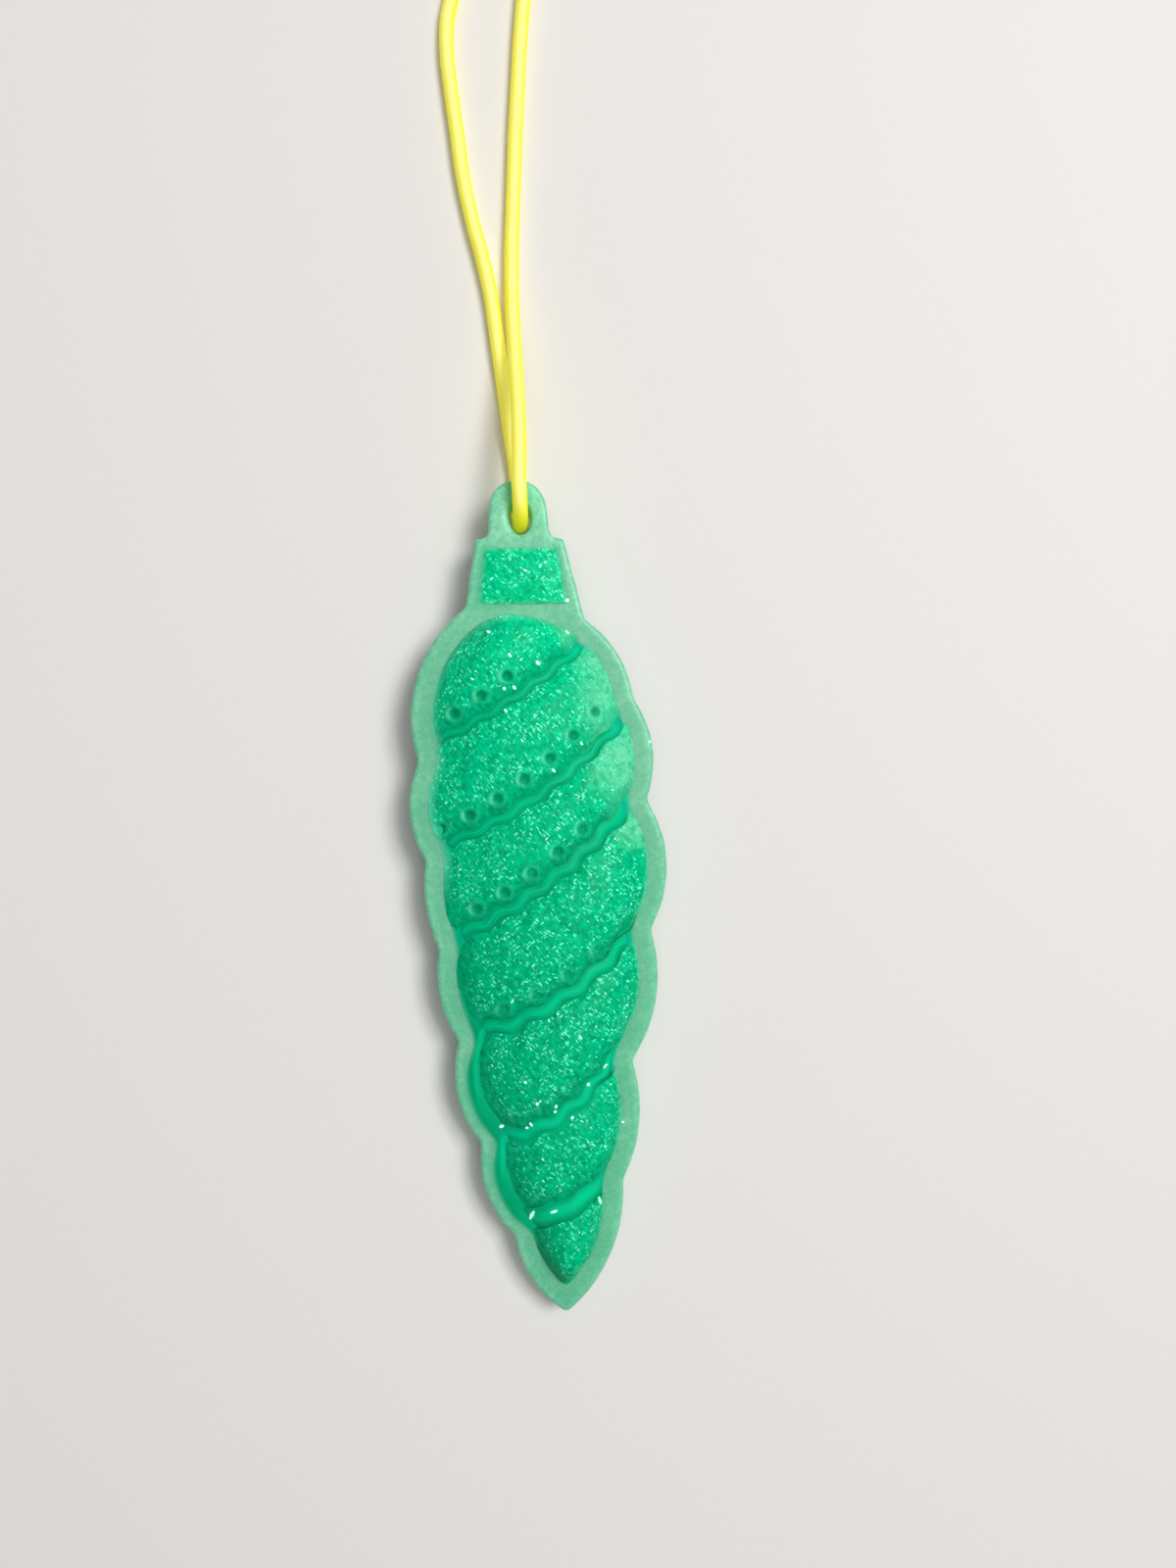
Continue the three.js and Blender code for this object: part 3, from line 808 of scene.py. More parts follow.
        facing = add_node(tree, "VectorMath", [bump, lean], operation="ADD")
        sliver_glow = add_node(tree, "Math", [glint, self.sliver_glow], operation="MULTIPLY")
        # The ground and slivers give off light: painted glints as emission, though nothing here is a
        # lamp
        return {
            "Base Color": colour, "Emission Color": colour,
            "Normal": add_node(tree, "VectorMath", [facing], operation="NORMALIZE"),
            "Specular IOR Level": add_node(tree, "MapRange", [glint, 0.0, 1.0, 0.03, 0.26]),
            "Emission Strength": add_node(tree, "Math", [glint_glow, self.glint_emission, sliver_glow],
                                          operation="MULTIPLY_ADD"),
            "Roughness": 0.3, "IOR": RESIN_IOR, "Subsurface Weight": 0.1,
            "Subsurface Radius": (0.0002, 0.0008, 0.0005), "Subsurface Scale": 1.0,
        }


@dataclass(frozen=True)
class CutGlitter(Finish):
    """Flakes cut from metallised film: white with a breath of mint, bright and smooth, with a painted
    glint that glows.
    """

    title: ClassVar[str] = "cut_film_glitter"
    bright: int = 0xD2FFF2
    mint: int = 0x90F0D0
    grain_mm: float = 0.3

    def surface(self, tree: NodeTree, place: NodeSocket, marks: dict[str, Node]) -> dict:
        """Bright film that turns mint in places, with a faint painted glint.

        Args:
            tree: The material's node tree.
            place: Object coordinates, in metres.
            marks: Not used.

        Returns:
            Values, sockets and nodes by the name of the shader's socket.
        """
        grain = add_node(tree, "TexNoise", {"Vector": place, "Scale": 1000 / self.grain_mm,
                                            "Detail": 2.0})
        share = add_node(tree, "MapRange", [grain, 0.4, 0.7])
        tone = add_node(tree, "Mix", {0: share, COLOUR_A: srgb(self.bright),
                                      COLOUR_B: srgb(self.mint)}, data_type="RGBA")
        # The emission is a painted glint; the chips are no lamp
        return {"Base Color": tone, "Emission Color": tone, "Emission Strength": 0.45,
                "Roughness": 0.25, "IOR": 1.6, "Specular IOR Level": 0.8}


@dataclass(frozen=True)
class SatinWeave(Finish):
    """Woven rayon satin over a soft core: a broad pale sheen painted along its upper side, a faint
    glow that lifts its shaded side and a fine cross weave of threads, drawn a little coarser than real
    so that it shows."""

    title: ClassVar[str] = "woven_satin_cord"
    marks: ClassVar[tuple[str, ...]] = ("straight",)
    thread: int = 0xFFF400
    # Colour of the sheen painted along the upper side
    sheen: int = 0xFFFCA8
    shade: int = 0xF2E000
    glow: int = 0xFFFDC0
    thread_mm: float = 0.32
    around: int = 14

    def surface(self, tree: NodeTree, place: NodeSocket, marks: dict[str, Node]) -> dict:
        """Two sets of threads that cross on the straightened cord, a sheen painted on its upper side
        and a faint glow.

        Args:
            tree: The material's node tree.
            place: Object coordinates, in metres.
            marks: The point attributes that the finish reads, by name.

        Returns:
            Values, sockets and nodes by the name of the shader's socket.
        """
        straight = marks["straight"].outputs["Vector"]
        part = add_node(tree, "SeparateXYZ", [straight]).outputs
        angle = add_node(tree, "Math", [part["Y"], part["X"]], operation="ARCTAN2")
        wound = add_node(tree, "Math", [angle, float(self.around)], operation="MULTIPLY")
        laid = add_node(tree, "Math", [part["Z"], 2 * math.pi / self.thread_mm], operation="MULTIPLY")
        waves = [
            add_node(tree, "Math", [add_node(tree, "Math", [wound, laid], operation=way)],
                     operation="SINE")
            for way in ("ADD", "SUBTRACT")]
        weave = add_node(tree, "Math", waves, operation="MAXIMUM")
        fuzz = add_node(tree, "TexNoise", {"Vector": straight, "Scale": 2.5, "Detail": 3.0})
        shown = add_node(tree, "MapRange", [weave, -1.0, 1.0])
        tone = add_node(tree, "Mix", {0: shown, COLOUR_A: srgb(self.shade),
                                      COLOUR_B: srgb(self.thread)}, data_type="RGBA")
        worn = add_node(tree, "Mix", {0: 0.2, COLOUR_A: tone, COLOUR_B: fuzz}, data_type="RGBA",
                        blend_type="SOFT_LIGHT")
        # Painted sheen: paler where the cord faces up, as where the light catches it
        upward = add_node(tree, "SeparateXYZ", [place.node.outputs["Normal"]]).outputs["Z"]
        crest = add_node(tree, "MapRange", [upward, 0.6, 0.97, 0.0, 0.7],
                         interpolation_type="SMOOTHSTEP")
        pale = add_node(tree, "Mix", {0: crest, COLOUR_A: worn, COLOUR_B: srgb(self.sheen)},
                        data_type="RGBA")
        bump = add_node(tree, "Bump", {"Height": weave, "Strength": 0.35, "Distance": 0.00006})
        # The emission is painted light that lifts the cord's shaded side
        return {"Base Color": pale, "Normal": bump, "Emission Color": tone,
                "Emission Strength": 0.2, "Roughness": 0.42, "IOR": 1.5,
                "Specular IOR Level": 0.9, "Sheen Weight": 0.25, "Sheen Roughness": 0.35,
                "Sheen Tint": srgb(self.glow), "Subsurface Weight": 0.7,
                "Subsurface Radius": (0.0016, 0.0014, 0.0001), "Subsurface Scale": 1.0}


@dataclass(frozen=True)
class PaleBoard(Finish):
    """Matt painted board for the floor: pale, even, with the faintest tooth."""

    title: ClassVar[str] = "matt_painted_board"
    base: int = 0xE6E3E0

    def surface(self, tree: NodeTree, place: NodeSocket, marks: dict[str, Node]) -> dict:
        """An even pale coat with a fine tooth.

        Args:
            tree: The material's node tree.
            place: Object coordinates, in metres.
            marks: Not used.

        Returns:
            Values, sockets and nodes by the name of the shader's socket.
        """
        tooth = add_node(tree, "TexNoise", {"Vector": place, "Scale": 900.0, "Detail": 2.0})
        tone = add_node(tree, "Mix", {0: 0.04, COLOUR_A: srgb(self.base), COLOUR_B: tooth},
                        data_type="RGBA", blend_type="SOFT_LIGHT")
        return {"Base Color": tone, "Roughness": 0.8}


# The plan of the casting


@dataclass(frozen=True)
class Side:
    """One side of an outline: an arc or a straight stretch with a softened far corner."""

    start: complex
    end: complex
    rise: float
    soften: float


@dataclass(frozen=True)
class DropPlan:
    """The outline of the drop and its neck and tab, as in the part's source."""

    tip: complex = 0.1 - 0.2j
    tip_softness: float = 0.6
    valley_softness: float = 0.6
    right_bulges: tuple = (
        (7.75 + 15.4j, 2.15), (9.65 + 29.9j, 1.5), (12.75 + 45.6j, 1.9),
        (13.1 + 61.3j, 2.25), (12.2 + 73.5j, 1.55), (6.85 + 83.2j, 1.2),
    )
    left_bulges: tuple = (
        (-5.65 + 9.9j, 1.25), (-8.95 + 21.3j, 1.5), (-10.9 + 33.7j, 1.65),
        (-12.65 + 44.8j, 1.15), (-13.6 + 55.5j, 0.8), (-13.75 + 67.3j, 1.5), (-7.25 + 85.1j, 3.1),
    )
    neck_top_right: complex = 4.85 + 93.0j
    neck_top_left: complex = -5.6 + 93.2j
    shoulder_softness: float = 0.5
    tab_x: float = -0.4
    tab_top: float = 100.0
    tab_radius: float = 3.45
    tab_foot_half: float = 3.7
    tab_foot_fillet: float = 0.9
    bed_top_rise: float = 1.9
    hole_x: float = -0.13
    hole_width: float = 2.6
    hole_length: float = 3.8
    bar_height: float = 2.67
    step: float = 0.3
    arch_softness: float = 0.2

    def scallops(self) -> tuple[list[Side], list[Side]]:
        """The right side going up and the left side going down.

        Returns:
            The two lists of sides.
        """
        def climb(bulges: tuple) -> list[Side]:
            """One side from the tip up.

            Args:
                bulges: Where each bulge ends, and its rise.

            Returns:
                Its sides.
            """
            starts = [self.tip] + [end for end, _ in bulges]
            return [Side(start, end, rise, self.valley_softness)
                    for start, (end, rise) in zip(starts, bulges)]

        down = [Side(s.end, s.start, s.rise, s.soften) for s in reversed(climb(self.left_bulges))]
        last = down[-1]
        down[-1] = Side(last.start, last.end, last.rise, self.tip_softness)
        return climb(self.right_bulges), down

    def outline(self, sides: list[Side]) -> ndarray:
        """A closed outline through sides, its corners softened.

        Args:
            sides: The sides in order, counter-clockwise.

        Returns:
            Evenly spaced points.
        """
        runs = []
        for before, side in zip([sides[-1], *sides], sides):
            length = abs(side.end - side.start)
            share = np.linspace(before.soften / length, 1 - side.soften / length, 40)
            runs.append(arc(side.start, side.end, side.rise, share))
        line = []
        t = np.linspace(0, 1, 8)[1:-1]
        for run, side, following in zip(runs, sides, runs[1:] + runs[:1]):
            corner = (1 - t) ** 2 * run[-1] + 2 * t * (1 - t) * side.end + t**2 * following[0]
            line += [run, corner]
        return spaced(np.concatenate(line), self.step)

    def plate(self) -> ndarray:
        """Outline of the whole plate, with neck and tab.

        Returns:
            Evenly spaced points, counter-clockwise.
        """
        up, down = self.scallops()
        arch = self.tab_top - self.tab_radius
        right, left = self.tab_x + self.tab_radius, self.tab_x - self.tab_radius
        corners = [
            (up[-1].end, self.valley_softness),
            (self.neck_top_right, self.shoulder_softness),
            (self.tab_x + self.tab_foot_half + 1j * self.neck_top_right.imag, self.tab_foot_fillet),
            (right + 1j * arch, self.arch_softness),
            (left + 1j * arch, self.arch_softness),
            (self.tab_x - self.tab_foot_half + 1j * self.neck_top_left.imag, self.tab_foot_fillet),
            (self.neck_top_left, self.shoulder_softness),
            (down[0].start, self.valley_softness),
        ]
        neck = [Side(a, b, 0.0, soften) for (a, _), (b, soften) in zip(corners, corners[1:])]
        neck[3] = Side(neck[3].start, neck[3].end, self.tab_radius, self.arch_softness)
        return self.outline([*up, *neck, *down])

    def body(self) -> ndarray:
        """Outline of the body alone, closed over the top of the relief.

        Returns:
            Evenly spaced points, counter-clockwise.
        """
        up, down = self.scallops()
        top = Side(up[-1].end, down[0].start, self.bed_top_rise, self.valley_softness)
        return self.outline([*up, top, *down])

    def hole(self) -> ndarray:
        """Outline of the upright oval cord hole.

        Returns:
            Its points, counter-clockwise.
        """
        turn = np.linspace(0, 2 * np.pi, 49)[:-1]
        centre = self.hole_x + 1j * (self.tab_top - self.bar_height - self.hole_length / 2)
        return centre + self.hole_width / 2 * np.cos(turn) + 0.5j * self.hole_length * np.sin(turn)

    def bulge_radius(self, left: bool, index: int) -> float:
        """Radius of one bulge.

        Args:
            left: Whether it is on the left side.
            index: Its number from the tip up.

        Returns:
            The radius in mm, or infinity where there is no such bulge.
        """
        bulges = self.left_bulges if left else self.right_bulges
        if index >= len(bulges):
            return math.inf
        end, rise = bulges[index]
        half = abs(end - (bulges[index - 1][0] if index else self.tip)) / 2
        return (half**2 + rise**2) / (2 * rise)


@dataclass
class Ribbon:
    """A smooth wavy band that parts two lobes, and the places beside its centre line.

    Its ends, how far it sags, its width, its waves' height, pitch and first place, then its
    lobe's eyelets: how many, how far in and how far fanned out; the tone of the light painted on
    its crest, how deep the eyelets and flow lines are, and the size of the pool at its right end.
    """

    left: complex
    right: complex
    sag: float
    width: float
    wave: float
    pitch: float
    first: float
    eyelets: int
    inset: float
    fan: float
    glow: float
    pits: float
    pool: float
    start: float = 0.0
    end: float = 1.0
    pool_back: float = 0.5
    pool_spread: float = 1.5
    run_on: float = 0.1

    def __post_init__(self) -> None:
        """Measures the curve, so that places on it go by length."""
        middle = (self.left + self.right) / 2 - 2j * self.sag
        t = np.linspace(0, 1, 401)
        self.table: ndarray = (1 - t) ** 2 * self.left + 2 * t * (1 - t) * middle + t**2 * self.right
        reach = travelled(self.table)
        self.length = float(reach[-1])
        self.shares: ndarray = reach / reach[-1]
        tangent = (1 - t) * (middle - self.left) + t * (self.right - middle)
        self.tangents: ndarray = tangent / abs(tangent)

    def beside(self, u: ndarray, offset: ndarray | float) -> ndarray:
        """Places beside the waving centre line, positive towards the tab.

        Args:
            u: Shares of the ribbon's length.
            offset: Distance from the centre line, in mm.

        Returns:
            The places.
        """
        beyond = (u - held(u)) * self.length
        tangent = np.interp(u, self.shares, self.tangents)
        wave = -self.wave * np.cos(2 * np.pi * (u * self.length - self.first) / self.pitch)
        centre = np.interp(u, self.shares, self.table) + beyond * tangent
        return centre + 1j * tangent / abs(tangent) * (wave + offset)

    def pooled(self, spots: ndarray) -> ndarray:
        """How much each place lies in the plain pool that the right end runs out into.

        Args:
            spots: The places.

        Returns:
            The shares.
        """
        if not self.pool:
            return np.zeros(spots.shape)
        centre = self.beside(np.array([self.end]), 0.0)[0] - self.pool_back
        return held(self.pool_spread - abs(spots - centre) / self.pool)

    def kept_beyond(self, spots: ndarray, offset: float) -> ndarray:
        """Places moved onto the line at an offset where they lie on the ribbon's side of it.

        Args:
            spots: The places.
            offset: Distance of the line from the centre line, in mm.

        Returns:
            The places, moved where they have to be.
        """
        line = self.beside(np.linspace(-self.run_on, 1 + self.run_on, 481), offset)
        ahead = np.gradient(line)
        results = []
        for few in np.array_split(spots, spots.size // 2000 + 1):
            near = abs(few[:, None] - line).argmin(axis=1)
            out = ((few - line[near]) * ahead[near].conj()).imag * np.sign(offset)
            results.append(np.where(out < 0, line[near], few))
        return np.concatenate(results)


# The six ribbons from the tip up, each with its sizes in the order of the fields above

RIBBON_SIZES = (
    (-5.0 + 11.6j, 8.0 + 17.5j, 0.7, 2.2, 0.12, 4.1, 2.4, 0, 0.0, 0.0, 0.9, 0, 0.0),
    (-8.2 + 22.1j, 10.0 + 33.8j, 2.9, 1.5, 0.3, 4.0, 4.4, 3, 1.35, 0.0, 0.85, 0.35, 0.0),
    (-10.2 + 34.7j, 12.8 + 47.6j, 2.6, 1.4, 0.3, 4.6, 5.5, 4, 1.35, 0.0, 0.8, 0.5, 0.8),
    (-11.8 + 45.9j, 13.4 + 63.2j, 2.0, 1.3, 0.28, 4.0, 5.2, 5, 1.45, 0.5, 0.7, 0.85, 1.9),
    (-12.6 + 57.1j, 12.6 + 72.8j, 2.3, 0.95, 0.22, 4.0, 1.6, 7, 1.8, 1.6, 0.7, 1.0, 2.0),
    (-12.6 + 69.2j, 9.0 + 82.3j, 1.35, 0.85, 0.22, 3.85, 4.6, 3, 1.8, 1.6, 0.7, 1.0, 1.6),
)


# Where a pale sheen is painted on the glitter fills over the upper right of the body: centre and radius

PAINTED_SHEEN_SPOTS = (
    (10.6 + 73.5j, 6.5), (11.2 + 66.0j, 6.0), (9.0 + 78.5j, 4.5), (11.5 + 58.5j, 3.5),
    (5.5 + 82.0j, 2.6),
)

# Loose chips of glitter that lie flush in the surface: place, length, width and turn in degrees

CHIPS = (
    (3.98 + 28.21j, 0.45, 0.4, 10), (-2.15 + 26.61j, 0.45, 0.4, 30), (-1.79 + 26.93j, 0.3, 0.2, 60),
    (0.01 + 26.14j, 0.5, 0.35, 80), (-0.14 + 25.42j, 0.4, 0.4, 20), (-2.97 + 23.88j, 0.6, 0.3, -50),
    (-3.46 + 23.42j, 0.45, 0.3, 15), (-6.47 + 23.39j, 0.6, 0.4, 15), (6.11 + 30.01j, 1.2, 0.3, 15),
    (-3.47 + 12.57j, 1.6, 0.45, 66), (-0.88 + 13.33j, 1.0, 0.3, 18), (4.68 + 13.61j, 1.0, 0.35, 106),
    (13.8 + 68.19j, 0.4, 0.3, 40), (4.84 + 85.49j, 0.5, 0.4, 20),
    (4.6 + 81.65j, 0.65, 0.35, -60), (1.9 + 24.43j, 0.4, 0.35, 0), (8.1 + 22.57j, 0.35, 0.3, 0),
    (-4.65 + 81.86j, 0.55, 0.35, -40), (-2.41 + 79.0j, 0.6, 0.3, -55), (0.79 + 78.05j, 0.65, 0.45, -50),
    (-3.25 + 75.28j, 0.45, 0.4, -40), (-2.09 + 75.33j, 0.6, 0.4, -50), (-3.2 + 72.65j, 0.6, 0.3, -55),
    (1.92 + 65.5j, 0.6, 0.3, -50), (5.36 + 68.45j, 0.5, 0.3, -55), (-3.4 + 29.25j, 0.4, 0.3, -40),
)


@dataclass(frozen=True)
class Layers:
    """Heights and gaps of what lies on the plate, in mm."""

    plate: float = 4.0
    plate_edge: float = 0.5
    rim: float = 2.35
    pour_gap: float = 0.3
    bed: float = 0.5
    bed_edge: float = 0.25
    bed_slope: tuple = ((0.0, -0.12), (0.25, -0.03), (0.45, 0.06), (0.7, 0.16), (1.0, 0.25),
                        (1.35, 0.3), (1.8, 0.32))
    slope_reach: float = 0.3
    bed_sink: float = 0.3
    relief_sink: float = 0.1
    cap_sink: float = 0.2
    end_drop: float = 0.75
    lobe_wall: float = 0.5
    body_crown: float = 1.3
    lobe_crown: float = 1.0
    full_crown_width: float = 22.0
    half_body: float = 14.0
    lane_gap: float = 0.2
    ribbon_end_gap: float = 0.15
    eyelet_radius: float = 0.64
    eyelet_depth: float = 0.3
    lobe_edge_gap: float = -0.05
    lobe_overshoot: float = 0.6

    @property
    def bed_top(self) -> float:
        """Height of the bed's upper side."""
        return self.plate + self.pour_gap + self.bed

    @property
    def wall(self) -> float:
        """Height of a lobe's or a ribbon's wall over the level that its ends run down to."""
        return self.pour_gap + self.lobe_wall + self.end_drop

    def crown_share(self, line: Ribbon) -> float:
        """Share of the full crown that the body has where it is as wide as a ribbon is long."""
        return min(1.0, line.length / self.full_crown_width)


@dataclass
class Lobe:
    """One domed glitter fill between two ribbons, mapped from shares of its sides."""

    plan: DropPlan
    layers: Layers
    outline: ndarray
    index: int
    below: Ribbon | None
    above: Ribbon | None
    ledge: float
    tip_width: float = 0.8
    tip_y: float = 4.0
    top_overshoot: float = 1.4
    least_reach: float = 0.3
    beyond: float = 1.12
    full_row: float = 6.0
    face_size: float = 0.14
    grains: tuple = ((1.3, 0.07), (0.45, 0.03))
    eyelet_lip: tuple = (1.45, 0.35, 0.06)
    lip_ring: tuple = (1.4, 0.3)
    haze_width: float = 0.45
    haze_share: float = 0.7
    lip_width: float = 0.9
    lip_share: float = 0.65
    thin_width: float = 0.9
    lower_margin: float = 2.2
    left_margins: tuple = ((46, 58), (3.2, 0.35))
    ring_and_lit_crescent: tuple = (0.08, 0.75)
    pit_reach: float = 1.1
    bare_reach: float = 1.9
    eyelet_fade: float = 0.4
    frost_bare: float = 0.45
    pit_clears: float = 0.8
    pool_clears: float = 0.85
    pool_pale: float = 0.22
    pillow_foot: float = 0.85
    taper_power: float = 0.6
    pit_power: float = 0.8
    sheen_gain: float = 1.5
    lip_edge: float = 1.1
    lip_start: tuple = (50, 6)
    thin_side: float = 6

    def __post_init__(self) -> None:
        """Works out the corners, the side arcs and how far the fill reaches at each height."""
        ends = np.array([0.0, 1.0])
        self.corners: tuple[complex, ...] = (*self.lower(ends), *self.upper(ends))
        low_left, low_right, top_left, top_right = self.corners
        inset_left = self.layers.rim + self.ledge
        self.left_rise = self.rise(True, inset_left, abs(top_left - low_left))
        self.right_rise = self.rise(False, self.layers.rim, abs(top_right - low_right))
        self.fullness = self.layers.crown_share(self.below or self.above)
        self.levels: ndarray = np.linspace(0, 1, 81)
        outer = self.beyond if self.below and self.above else 1.0
        self.reach = (self.limit(0.0), self.limit(outer))
        open_levels = self.levels[self.reach[1] - self.reach[0] > self.least_reach]
        self.top_level = float(open_levels[-1])

    def along(self, line: Ribbon, s: ndarray) -> ndarray:
        """Shares of a ribbon's length for shares of the lobe's edge."""
        first = line.start + (self.ledge - self.layers.ribbon_end_gap) / line.length
        return mix(first, line.end + self.layers.lobe_overshoot / line.length, s)

    def lower(self, s: ndarray) -> ndarray:
        """Lower edge from left to right.

        Args:
            s: Shares of the edge.

        Returns:
            The places.
        """
        if self.below is None:
            return self.plan.tip.real + (s - 0.5) * self.tip_width + 1j * self.tip_y
        offset = self.below.width / 2 + self.layers.lane_gap
        return self.below.beside(self.along(self.below, s), offset)

    def upper(self, s: ndarray) -> ndarray:
        """Upper edge from left to right.

        Args:
            s: Shares of the edge.

        Returns:
            The places.
        """
        if self.above is None:
            return self.top_edge(s)
        offset = -self.above.width / 2 - self.layers.lane_gap
        return self.above.beside(self.along(self.above, s), offset)

    def top_edge(self, s: ndarray) -> ndarray:
        """Upper edge of the top lobe, a shallow arch inside the rim.

        Args:
            s: Shares of the edge from left to right.

        Returns:
            The places.
        """
        inset_by = self.layers.rim + self.ledge
        left = self.plan.left_bulges[-1][0] + inset_by - 0.5j * inset_by
        right = self.lower(np.array([1.0]))[0]
        climb = self.plan.right_bulges[-1][0] - self.plan.right_bulges[-2][0]
        right += climb / abs(climb) * self.top_overshoot
        return arc(right, left, self.plan.bed_top_rise / 2, 1 - s)

    def rise(self, left: bool, inset_by: float, length: float) -> float:
        """Rise of the side arc that runs evenly inside its bulge.

        Args:
            left: Whether it is the left side.
            inset_by: How far inside the bulge the arc runs, in mm.
            length: Its chord.

        Returns:
            The rise, or 0 where the outline has no bulge.
        """
        radius = self.plan.bulge_radius(left, self.index)
        if math.isinf(radius):
            return 0.0
        inner = radius - inset_by
        return inner - math.sqrt(max(0.0, inner**2 - length**2 / 4))

    def spot(self, s: ndarray, t: ndarray) -> ndarray:
        """Places inside the four edges.

        Args:
            s: Shares across, from the left.
            t: Shares up, from the lower edge.

        Returns:
            The places.
        """
        low_left, low_right, top_left, top_right = self.corners
        left = arc(top_left, low_left, self.left_rise, 1 - t)
        right = arc(low_right, top_right, self.right_rise, t)
        across = left * (1 - s) + right * s
        along = self.lower(s) * (1 - t) + self.upper(s) * t
        flat = (low_left * (1 - s) + low_right * s) * (1 - t)
        return across + along - flat - (top_left * (1 - s) + top_right * s) * t

    def limit(self, outer: float) -> ndarray:
        """How far the fill may go at each level before it leaves the relief's outline.

        Args:
            outer: Share that it goes to where it is free.

        Returns:
            The shares, one for each level.
        """
        needed = self.layers.rim + self.layers.lobe_edge_gap
        furthest = np.full_like(self.levels, outer)
        free = clearance(self.outline, self.spot(furthest, self.levels)) >= needed
        reach = reach_within(self.outline, lambda s: self.spot(s, self.levels), furthest, needed)
        return np.where(free, outer, reach)

    def height(self, s: ndarray, t: ndarray, row: ndarray) -> ndarray:
        """Height over the bed: crowned across the body, pillowed up the lobe, low in short rows.

        Args:
            s: Shares across.
            t: Shares up.
            row: Width of the fill at each place's level, in mm.

        Returns:
            The heights.
        """
        pillow = self.layers.body_crown + self.layers.lobe_crown * soft_swell(t, foot=self.pillow_foot)
        taper = held(row / self.full_row) ** self.taper_power
        rise = soft_swell(s) * (self.layers.wall + self.fullness * pillow)
        return rise * taper - self.layers.end_drop

    def eyelet_spots(self) -> ndarray:
        """Centres of the eyelets.

        Returns:
            The places, or none where the lobe has no eyelets.
        """
        if self.below is None or not self.below.eyelets:
            return np.array([])
        line = self.below
        u = (line.first + np.arange(line.eyelets) * line.pitch) / line.length
        row = line.inset + line.fan * (u - 0.33)
        return line.beside(u, line.width / 2 + self.layers.lane_gap + row)

    def place(self, s: ndarray, t: ndarray) -> tuple[ndarray, ndarray]:
        """The fill's upper surface, with its eyelets.

        Args:
            s: Shares across.
            t: Shares up.

        Returns:
            The places and their heights.
        """
        s, t = eased(s), eased(t)
        level = t * self.top_level
        first, last = (np.interp(level, self.levels, reach) for reach in self.reach)
        flat = self.spot(mix(first, last, s), level)
        row = abs(self.spot(last, level) - self.spot(first, level))
        for line, side in ((self.below, 1), (self.above, -1)):
            if line:
                flat = line.kept_beyond(flat, side * (line.width / 2 + self.layers.lane_gap))
        level = self.layers.bed_top + self.height(s, t, row)
        radius = self.layers.eyelet_radius
        lip_at, lip_spread, lip_rise = self.eyelet_lip
        for centre in self.eyelet_spots():
            away = abs(flat - centre)
            pit = held(1 - (away / radius) ** 2) ** self.pit_power
            lip = np.exp(-(((away - lip_at * radius) / (lip_spread * radius)) ** 2))
            depth = self.layers.eyelet_depth * self.below.pits
            level = level - depth * pit + lip_rise * self.below.pits * lip
        return flat, level

    def sheen_and_haze(self, spots: ndarray, edge: ndarray, left: ndarray) -> ndarray:
        """How pale each place is: a painted sheen at the upper right and hazy along the right edge.

        Args:
            spots: The places.
            edge: Their distances from the rim.
            left: How far each one lies to the left.

        Returns:
            The shares.
        """
        frost = np.zeros_like(edge)
        # Painted sheen where the right-facing slopes of the upper fills catch the light
        for centre, radius in PAINTED_SHEEN_SPOTS:
            frost = np.maximum(frost, 1 - abs(spots - centre) / radius)
        haze = held(1 - edge / self.haze_width) * (1 - left)
        return np.maximum(held(frost * self.sheen_gain), self.haze_share * haze)

    def marks(self, spots: ndarray) -> dict[str, ndarray]:
        """What the finish reads: margins for painted shade and thinner glitter, frost that is partly
        painted sheen, pits, lips that are partly painted light, and places bare of glitter.

        Args:
            spots: The places.

        Returns:
            The values by the attribute's name.
        """
        shares = np.linspace(0, 1, 61)
        side = arc(self.corners[0], self.corners[2], -self.left_rise, shares)
        away, away_left = (
            abs(spots[:, None] - line).min(axis=1) for line in (self.lower(shares), side))
        edge = clearance(self.outline, spots) - self.layers.rim
        left = held(0.5 - spots.real / self.layers.half_body)
        frost = self.sheen_and_haze(spots, edge, left)
        plain = np.interp(spots.imag, *self.left_margins)
        # margin: nearness to the lower and left edges, where painted shade darkens the fill and the
        # glitter thins
        margin = np.minimum(held(away / self.lower_margin), held(away_left / plain))
        pit, bare = np.zeros_like(away), np.zeros_like(away)
        # Lighter along the left border of the upper fills: painted light against the shade on that
        # slope
        lip = self.lip_share * left * held(self.lip_edge - edge / self.lip_width)
        lip_from, lip_over = self.lip_start
        lip = lip * held((spots.imag - lip_from) / lip_over)
        ring_at, ring_spread = self.lip_ring
        pale, paler = self.ring_and_lit_crescent
        for centre in self.eyelet_spots():
            out = spots - centre
            near = abs(out) / self.layers.eyelet_radius
            pit_near, bare_near = (held((reach - near) / self.eyelet_fade)
                                   for reach in (self.pit_reach, self.bare_reach))
            pit = np.maximum(pit, pit_near * self.below.pits)
            leftward = held(-out.real / np.maximum(abs(out), 1e-6))
